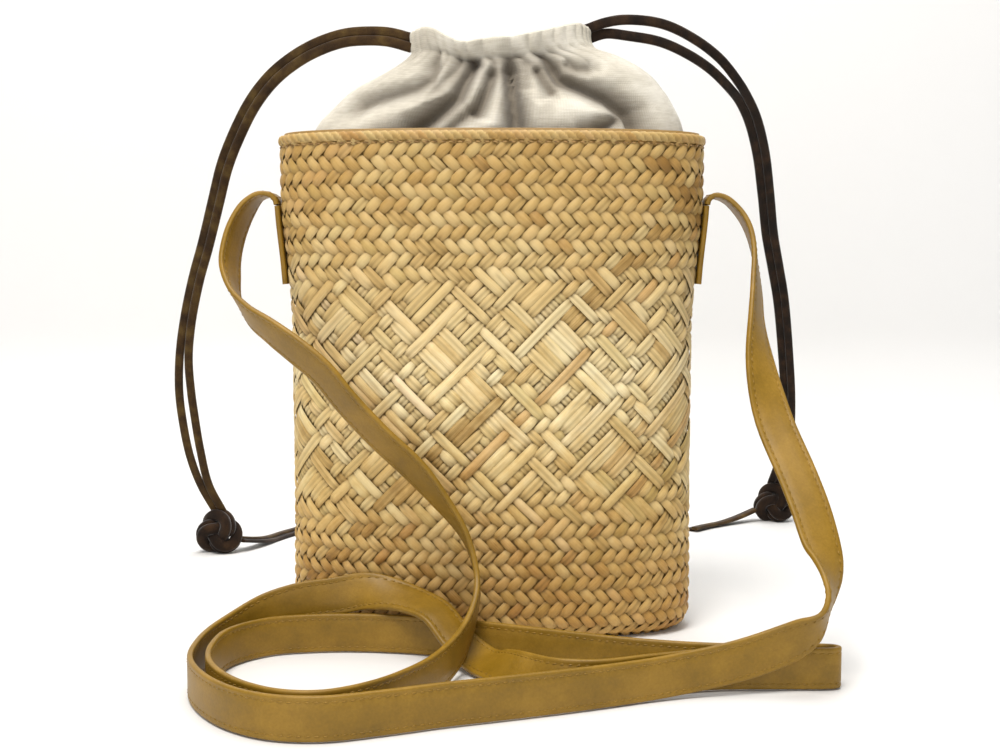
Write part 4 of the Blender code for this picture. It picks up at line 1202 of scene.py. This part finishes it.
# %% The strap
STRAP_WIDTH = 14.5 * MM
STRAP_THICKNESS = 2.0 * MM
STITCH_FROM_EDGE = 1.9 * MM
STITCH_PITCH = 2.8 * MM
STRAP_HALF_SECTION = [
    (-7.25, 0.45),
    (-7.05, 0.86),
    (-6.60, 1.00),
    (-5.75, 0.99),
    (-5.35, 0.86),
    (-4.95, 0.99),
    (-2.00, 1.00),
    (2.00, 1.00),
    (4.95, 0.99),
    (5.35, 0.86),
    (5.75, 0.99),
    (6.60, 1.00),
    (7.05, 0.86),
    (7.25, 0.45),
]
STRAP_SECTION = [(x * MM, y * MM) for x, y in STRAP_HALF_SECTION]
STRAP_SECTION += [(x * MM, -y * MM) for x, y in reversed(STRAP_HALF_SECTION)]


def stitch_rows(rows, start, end):
    """Centres, directions and outward sides of the stitches on both faces of a strap."""
    middles, across, face = band_frames(rows)
    along = way_along(middles)
    places = np.arange(start, along[-1] - end, STITCH_PITCH)
    centres, runs, sides = [], [], []
    at = np.stack([np.interp(places, along, middles[:, i]) for i in range(3)], axis=1)
    over = unit(np.stack([np.interp(places, along, across[:, i]) for i in range(3)], axis=1))
    out = unit(np.stack([np.interp(places, along, face[:, i]) for i in range(3)], axis=1))
    run = unit(np.gradient(at, axis=0))
    for edge in (-1.0, 1.0):
        for side in (-1.0, 1.0):
            centre = at + over * edge * (0.5 * STRAP_WIDTH - STITCH_FROM_EDGE)
            centres.append(centre + out * side * (0.5 * STRAP_THICKNESS - 0.08 * MM))
            runs.append(run + over * 0.10 * side)
            sides.append(out * side)
    return np.vstack(centres), np.vstack(runs), np.vstack(sides)


def make_strap(name, rows, start=3.0 * MM, end=3.0 * MM):
    mesh, ring, corner = bend_band(name, rows, STRAP_SECTION)
    half = len(STRAP_HALF_SECTION)
    for polygon in mesh.polygons:
        corners = {int(corner[vertex]) for vertex in polygon.vertices}
        edge_face = corners <= {0, 1, 2 * half - 2, 2 * half - 1} or corners <= {half - 2, half - 1, half, half + 1}
        polygon.material_index = 1 if edge_face else 0
    turn_out(mesh)
    mesh.shade_smooth()
    mesh.set_sharp_from_angle(angle=math.radians(50.0))
    centres, runs, sides = stitch_rows(rows, start, end)
    stitches = place_stitches(name + "_stitches", centres, runs, sides, 1.9 * MM, 0.65 * MM, 0.50 * MM)
    whole = join_meshes(name, [(mesh, None), (stitches, 2)])
    print(name, count_triangles(whole), "triangles,", len(centres), "stitches")
    return make_piece(name, whole, [leather_finish, raw_edge_finish, cream_thread])


strap_rows = smooth_through(STRAP_ROUTE, 5)
strap_path = strap_rows[:, :3]
strap_length = float(way_along(strap_path)[-1])
strap = make_strap("shoulder_strap", strap_rows)
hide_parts("strap")
print("strap length: %.3f m" % strap_length)

# %% [markdown]
# ## The strap's sewn ends
# Each end of the strap lies flat on the basket's side and is sewn through the straw. It is the same
# leather in the same section, with the same two rows of stitches on each face.

# %% The two tabs
TAB_LENGTH = 31.0 * MM
TAB_TOP = 170.4 * MM
TOUCHING_GAP = 0.3 * MM


def make_tab(name, side, node):
    rows = []
    for k in range(9):
        height = TAB_TOP - TAB_LENGTH * (1.0 - k / 8)
        half_width = BASKET_HALF_WIDTH * smooth_value(BASKET_SECTIONS, 1, height / BASKET_HEIGHT)
        reach = half_width + TOUCHING_GAP + 0.5 * STRAP_THICKNESS
        rows.append((side * reach, 0.0, height, 0.0, -1.0, 0.0))
    tab = make_strap(name, np.array(rows), 4.0 * MM, 3.0 * MM)
    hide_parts(node)
    return tab


left_tab = make_tab("strap_end_left", -1.0, "strap_tab_left")
right_tab = make_tab("strap_end_right", 1.0, "strap_tab_right")

# %% [markdown]
# ## The drawstrings
# Two flat suede laces come out of each end of the hem, curve over the back of the bag and down to
# the surface, and are tied in an overhand knot. Every strand is its own band, carried beside the
# middle line of its pair.

# %% The laces' routes
# Columns: x, y, z of the pair's middle, the direction across the pair, and how far each strand lies
# from that middle.
LEFT_PAIR_ROUTE = [
    (-0.0345, 0.0000, 0.2355, 0.00, 0.00, 1.00, 0.0022),
    (-0.0406, 0.0020, 0.2374, 0.02, 0.00, 1.00, 0.0022),
    (-0.0489, 0.0050, 0.2384, 0.00, 0.00, 1.00, 0.0022),
    (-0.0593, 0.0090, 0.2383, -0.05, 0.00, 1.00, 0.0022),
    (-0.0701, 0.0140, 0.2359, -0.30, 0.00, 0.95, 0.0022),
    (-0.0804, 0.0200, 0.2319, -0.45, 0.00, 0.90, 0.0022),
    (-0.0914, 0.0270, 0.2252, -0.60, 0.00, 0.80, 0.0022),
    (-0.1013, 0.0350, 0.2158, -0.75, 0.00, 0.65, 0.0022),
    (-0.1100, 0.0440, 0.2037, -0.85, 0.00, 0.50, 0.0022),
    (-0.1175, 0.0530, 0.1906, -0.90, 0.00, 0.40, 0.0022),
    (-0.1242, 0.0640, 0.1745, -0.93, 0.00, 0.35, 0.0022),
    (-0.1314, 0.0760, 0.1569, -0.93, 0.00, 0.35, 0.0022),
    (-0.1388, 0.0870, 0.1398, -0.94, 0.00, 0.33, 0.0022),
    (-0.1452, 0.0970, 0.1207, -0.97, 0.00, 0.25, 0.0023),
    (-0.1495, 0.1060, 0.1025, -1.00, 0.00, 0.15, 0.0025),
    (-0.1510, 0.1130, 0.0858, -1.00, 0.00, 0.00, 0.0029),
    (-0.1509, 0.1180, 0.0729, -1.00, 0.00, -0.05, 0.0031),
    (-0.1494, 0.1250, 0.0530, -1.00, 0.00, -0.10, 0.0029),
    (-0.1463, 0.1315, 0.0360, -1.00, 0.00, -0.10, 0.0024),
    (-0.1415, 0.1368, 0.0238, -1.00, 0.00, -0.10, 0.0022),
]

RIGHT_PAIR_ROUTE = [
    (0.0407, 0.0000, 0.2392, 0.00, 0.00, 1.00, 0.0022),
    (0.0455, 0.0020, 0.2410, 0.00, 0.00, 1.00, 0.0024),
    (0.0563, 0.0080, 0.2420, 0.00, 0.00, 1.00, 0.0033),
    (0.0692, 0.0150, 0.2412, 0.15, 0.00, 1.00, 0.0036),
    (0.0820, 0.0240, 0.2374, 0.35, 0.00, 0.90, 0.0034),
    (0.0942, 0.0350, 0.2317, 0.55, 0.00, 0.80, 0.0030),
    (0.1042, 0.0460, 0.2243, 0.70, 0.00, 0.70, 0.0025),
    (0.1102, 0.0550, 0.2190, 0.80, 0.00, 0.60, 0.0022),
    (0.1161, 0.0650, 0.2114, 0.88, 0.00, 0.45, 0.0022),
    (0.1228, 0.0800, 0.1980, 0.93, 0.00, 0.35, 0.0022),
    (0.1289, 0.0980, 0.1802, 0.96, 0.00, 0.28, 0.0022),
    (0.1347, 0.1160, 0.1613, 0.96, 0.00, 0.28, 0.0022),
    (0.1410, 0.1310, 0.1443, 0.96, 0.00, 0.28, 0.0022),
    (0.1462, 0.1430, 0.1290, 0.97, 0.00, 0.25, 0.0022),
    (0.1542, 0.1660, 0.0967, 0.99, 0.00, 0.15, 0.0022),
    (0.1586, 0.1800, 0.0740, 1.00, 0.00, 0.10, 0.0022),
    (0.1615, 0.1950, 0.0503, 1.00, 0.00, 0.00, 0.0022),
    (0.1617, 0.2100, 0.0340, 1.00, 0.00, -0.05, 0.0022),
    (0.1608, 0.2200, 0.0238, 1.00, 0.00, -0.05, 0.0022),
]

LEFT_TAIL_ROUTE = [
    (-0.1292, 0.1398, 0.0062, 0.80, -0.60, 0.00, 0.0022),
    (-0.1232, 0.1510, 0.0036, 0.90, -0.42, 0.00, 0.0022),
    (-0.1184, 0.1640, 0.0016, 0.92, -0.40, 0.00, 0.0022),
    (-0.1126, 0.1770, 0.0014, 0.90, -0.44, 0.00, 0.0022),
    (-0.1060, 0.1890, 0.0014, 0.87, -0.48, 0.00, 0.0022),
]

RIGHT_TAIL_ROUTE = [
    (0.1486, 0.2209, 0.0062, -0.50, 0.86, 0.00, 0.0022),
    (0.1390, 0.2152, 0.0034, -0.55, 0.83, 0.00, 0.0022),
    (0.1285, 0.2080, 0.0016, -0.58, 0.81, 0.00, 0.0022),
    (0.1180, 0.1995, 0.0014, -0.64, 0.77, 0.00, 0.0022),
    (0.1090, 0.1900, 0.0014, -0.69, 0.72, 0.00, 0.0022),
]

# %% The laces
LACE_SECTION = [(x * MM, y * MM) for x, y in [
    (-2.00, 0.35), (-1.70, 0.80), (-0.80, 0.90), (0.80, 0.90), (1.70, 0.80), (2.00, 0.35),
    (2.00, -0.35), (1.70, -0.80), (0.80, -0.90), (-0.80, -0.90), (-1.70, -0.80), (-2.00, -0.35)]]


def strand_rows(route, side, tuck_start, tuck_end):
    """One strand beside the middle line of its pair, with its ends run on into what holds them."""
    given = np.array(route)
    first = given[0].copy()
    first[:3] += unit(given[0, :3] - given[1, :3]) * tuck_start
    last = given[-1].copy()
    last[:3] += unit(given[-1, :3] - given[-2, :3]) * tuck_end
    rows = smooth_through(np.vstack([first, given[1:-1], last]), 6)
    middles, across, face = band_frames(rows)
    close = np.clip((0.0029 - rows[:, 6:7]) / 0.0006, 0.0, 1.0)
    spread = rows[:, 6:7] - 0.35 * MM * close
    moved = rows[:, :6].copy()
    moved[:, :3] = middles + side * (across * spread + face * 0.55 * MM * close)
    moved[:, 3:6] = across
    return moved


def make_lace(name, route, side, node, finish, knots=()):
    in_collar = 3.5 * MM if knots else 2.5 * MM
    rows = strand_rows(route, side, in_collar, 3.5 * MM if knots else 0.0)
    mesh, _, corner = bend_band(name, rows, LACE_SECTION)
    for polygon in mesh.polygons:
        corners = {int(corner[vertex]) for vertex in polygon.vertices}
        polygon.material_index = 1 if corners <= {4, 5, 6, 7} or corners <= {10, 11, 0, 1} else 0
    turn_out(mesh)
    mesh.shade_smooth()
    mesh.set_sharp_from_angle(angle=math.radians(50.0))
    lace = make_piece(name, mesh, [finish, dark_suede])
    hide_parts(node)
    return lace


# %% [markdown]
# ## The knots
# Each pair of laces is tied together, so the knot is a doubled strand. The strand follows a
# three-lobed knot line that stands on two of its lobes, and two flat laces lie side by side along it.

# %% The knots
KNOT_LACE_DIAMETER = 6.0 * MM
KNOT_RADIUS = 5.9 * MM
KNOT_WOBBLE = 3.2 * MM
KNOT_LOBES = 3
LEFT_KNOT_PLACE = (-0.1405, 0.1370)
RIGHT_KNOT_PLACE = (0.1605, 0.2210)
KNOT_STATIONS = 96
KNOT_LACE_FULLNESS = 1.28
KNOT_SECTION = [(x * KNOT_LACE_FULLNESS * MM, y * KNOT_LACE_FULLNESS * MM) for x, y in [
    (-1.65, 0.90), (-1.25, 1.95), (0.00, 2.35), (1.25, 1.95), (1.65, 0.90),
    (1.65, -0.90), (1.25, -1.95), (0.00, -2.35), (-1.25, -1.95), (-1.65, -0.90)]]


def knot_line():
    angle = 2.0 * math.pi * np.arange(KNOT_STATIONS + 1) / KNOT_STATIONS
    radius = KNOT_RADIUS + KNOT_WOBBLE * np.cos(KNOT_LOBES * angle)
    heading = 2.0 * angle + math.radians(90.0)
    points = np.stack([radius * np.cos(heading), KNOT_WOBBLE * np.sin(KNOT_LOBES * angle), radius * np.sin(heading)], axis=1)
    return points


def make_knot(name, place, node):
    line = knot_line()
    line[:, 2] += TOUCHING_GAP + 0.5 * KNOT_LACE_DIAMETER - line[:, 2].min()
    line[:, 0] += place[0]
    line[:, 1] += place[1]
    along = np.gradient(line, axis=0)
    along[0] = along[-1] = line[1] - line[-2]
    along = unit(along)
    middle = line[:-1].mean(axis=0)
    outward = line - middle
    outward = unit(outward - np.sum(outward * along, axis=1)[:, None] * along)
    across = np.cross(along, outward)
    meshes = []
    for side in (-1.0, 1.0):
        rows = np.hstack([line + side * 1.6 * MM * across, across])
        around = len(KNOT_SECTION)
        mesh = mesh_from(straight_tube(around, KNOT_STATIONS, capped=False), name)
        ring, corner = ring_and_corner(read_points(mesh), around)
        shape = np.array(KNOT_SECTION)
        placed = rows[ring, :3] + across[ring] * shape[corner, 0:1] + outward[ring] * shape[corner, 1:2]
        write_points(mesh, placed)
        turn_out(mesh, weld=0.01 * MM)
        meshes.append((mesh, 0))
    whole = join_meshes(name, meshes)
    whole.shade_smooth()
    knot = make_piece(name, whole, [dark_suede])
    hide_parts(node)
    return knot


left_knot = make_knot("knot_of_left_laces", LEFT_KNOT_PLACE, "left_knot")
right_knot = make_knot("knot_of_right_laces", RIGHT_KNOT_PLACE, "right_knot")

# %% Lay the laces and their ends
make_lace("lace_left_upper", LEFT_PAIR_ROUTE, 1.0, "left_lace_a", brown_suede, [left_knot])
make_lace("lace_left_lower", LEFT_PAIR_ROUTE, -1.0, "left_lace_b", brown_suede, [left_knot])
make_lace("lace_right_upper", RIGHT_PAIR_ROUTE, 1.0, "right_lace_a", dark_suede, [right_knot])
make_lace("lace_right_lower", RIGHT_PAIR_ROUTE, -1.0, "right_lace_b", dark_suede, [right_knot])
make_lace("lace_end_left_a", LEFT_TAIL_ROUTE, 1.0, "left_tail_a", dark_suede)
make_lace("lace_end_left_b", LEFT_TAIL_ROUTE, -1.0, "left_tail_b", brown_suede)
make_lace("lace_end_right_a", RIGHT_TAIL_ROUTE, 1.0, "right_tail_a", dark_suede)
make_lace("lace_end_right_b", RIGHT_TAIL_ROUTE, -1.0, "right_tail_b", brown_suede)

# %% [markdown]
# ## Floor and light
# The bag stands on pale seamless paper that curves up behind it. The paper shows only from its front,
# so that the bag can also be looked at from behind. One large soft light from above and
# to the left gives the gentle shadows, a weaker one low at the left front opens them, a third above
# the paper keeps it bright, and the pale surround does the rest.

# %% The paper
PAPER_WIDTH = 6.0
PAPER_FRONT = -3.0
PAPER_BEND_AT = 0.33
PAPER_BEND_RADIUS = 0.10
PAPER_TOP = 3.0


def make_paper():
    material, shader = new_finish("pale_seamless_paper", 0.9)
    shader.inputs["Base Color"].default_value = linear("#E2E2E1")
    shader.inputs["Specular IOR Level"].default_value = 0.1
    facing = add_node(material, "ShaderNodeNewGeometry")
    clear = add_node(material, "ShaderNodeBsdfTransparent")
    one_way = add_node(material, "ShaderNodeMixShader", {
        0: facing.outputs["Backfacing"], 1: shader.outputs["BSDF"], 2: clear.outputs["BSDF"]})
    link(material, one_way.outputs["Shader"], material.node_tree.nodes["Material Output"].inputs["Surface"])
    bm = bmesh.new()
    start = bm.verts.new((-0.5 * PAPER_WIDTH, PAPER_FRONT, 0.0))
    end = bm.verts.new((0.5 * PAPER_WIDTH, PAPER_FRONT, 0.0))
    edge = bm.edges.new((start, end))

    def pull(edges, move):
        made = bmesh.ops.extrude_edge_only(bm, edges=edges)["geom"]
        bmesh.ops.translate(bm, vec=move, verts=[part for part in made if isinstance(part, bmesh.types.BMVert)])
        return [part for part in made if isinstance(part, bmesh.types.BMEdge) and len(part.link_faces) == 1
                and abs(part.verts[0].co.y - part.verts[1].co.y) < 1e-6 and abs(part.verts[0].co.z - part.verts[1].co.z) < 1e-6]

    edges = pull([edge], (0.0, PAPER_BEND_AT - PAPER_FRONT, 0.0))
    bend_steps = 24
    for step in range(bend_steps):
        a0 = 0.5 * math.pi * step / bend_steps
        a1 = 0.5 * math.pi * (step + 1) / bend_steps
        move = (0.0, PAPER_BEND_RADIUS * (math.sin(a1) - math.sin(a0)), PAPER_BEND_RADIUS * (math.cos(a0) - math.cos(a1)))
        edges = pull(edges, move)
    pull(edges, (0.0, 0.0, PAPER_TOP))
    bmesh.ops.recalc_face_normals(bm, faces=bm.faces)
    largest = max(bm.faces, key=lambda face: face.calc_area() if abs(face.normal.z) > 0.9 else 0.0)
    if largest.normal.z < 0.0:
        bmesh.ops.reverse_faces(bm, faces=bm.faces)
    mesh = mesh_from(bm, "paper")
    mesh.materials.append(material)
    mesh.shade_smooth()
    paper = bpy.data.objects.new("paper", mesh)
    bpy.context.scene.collection.objects.link(paper)
    return paper


paper = make_paper()

# %% The lights


def add_light(name, place, target, size, power, hex_colour):
    data = bpy.data.lights.new(name, "AREA")
    data.shape = "DISK"
    data.size = size
    data.energy = power
    data.color = linear(hex_colour)[:3]
    light = bpy.data.objects.new(name, data)
    light.location = place
    light.rotation_euler = (Vector(target) - Vector(place)).to_track_quat("-Z", "Y").to_euler()
    bpy.context.scene.collection.objects.link(light)
    return light


add_light("key", (-0.20, -0.50, 1.18), (0.0, 0.0, 0.08), 0.50, 13.0, "#FFFAF4")
add_light("fill", (-0.45, -1.50, 0.50), (0.0, 0.0, 0.1), 1.0, 4.5, "#FBFBFF")
add_light("back", (0.1, 0.10, 1.3), (0.0, 0.6, 0.2), 0.8, 8.0, "#FFFFFF")

world = bpy.data.worlds.new("surround")
world.use_nodes = True
world.node_tree.nodes["Background"].inputs["Color"].default_value = linear("#F7F8FA")
world.node_tree.nodes["Background"].inputs["Strength"].default_value = 0.40
bpy.context.scene.world = world
bpy.context.scene.view_settings.view_transform = "Standard"

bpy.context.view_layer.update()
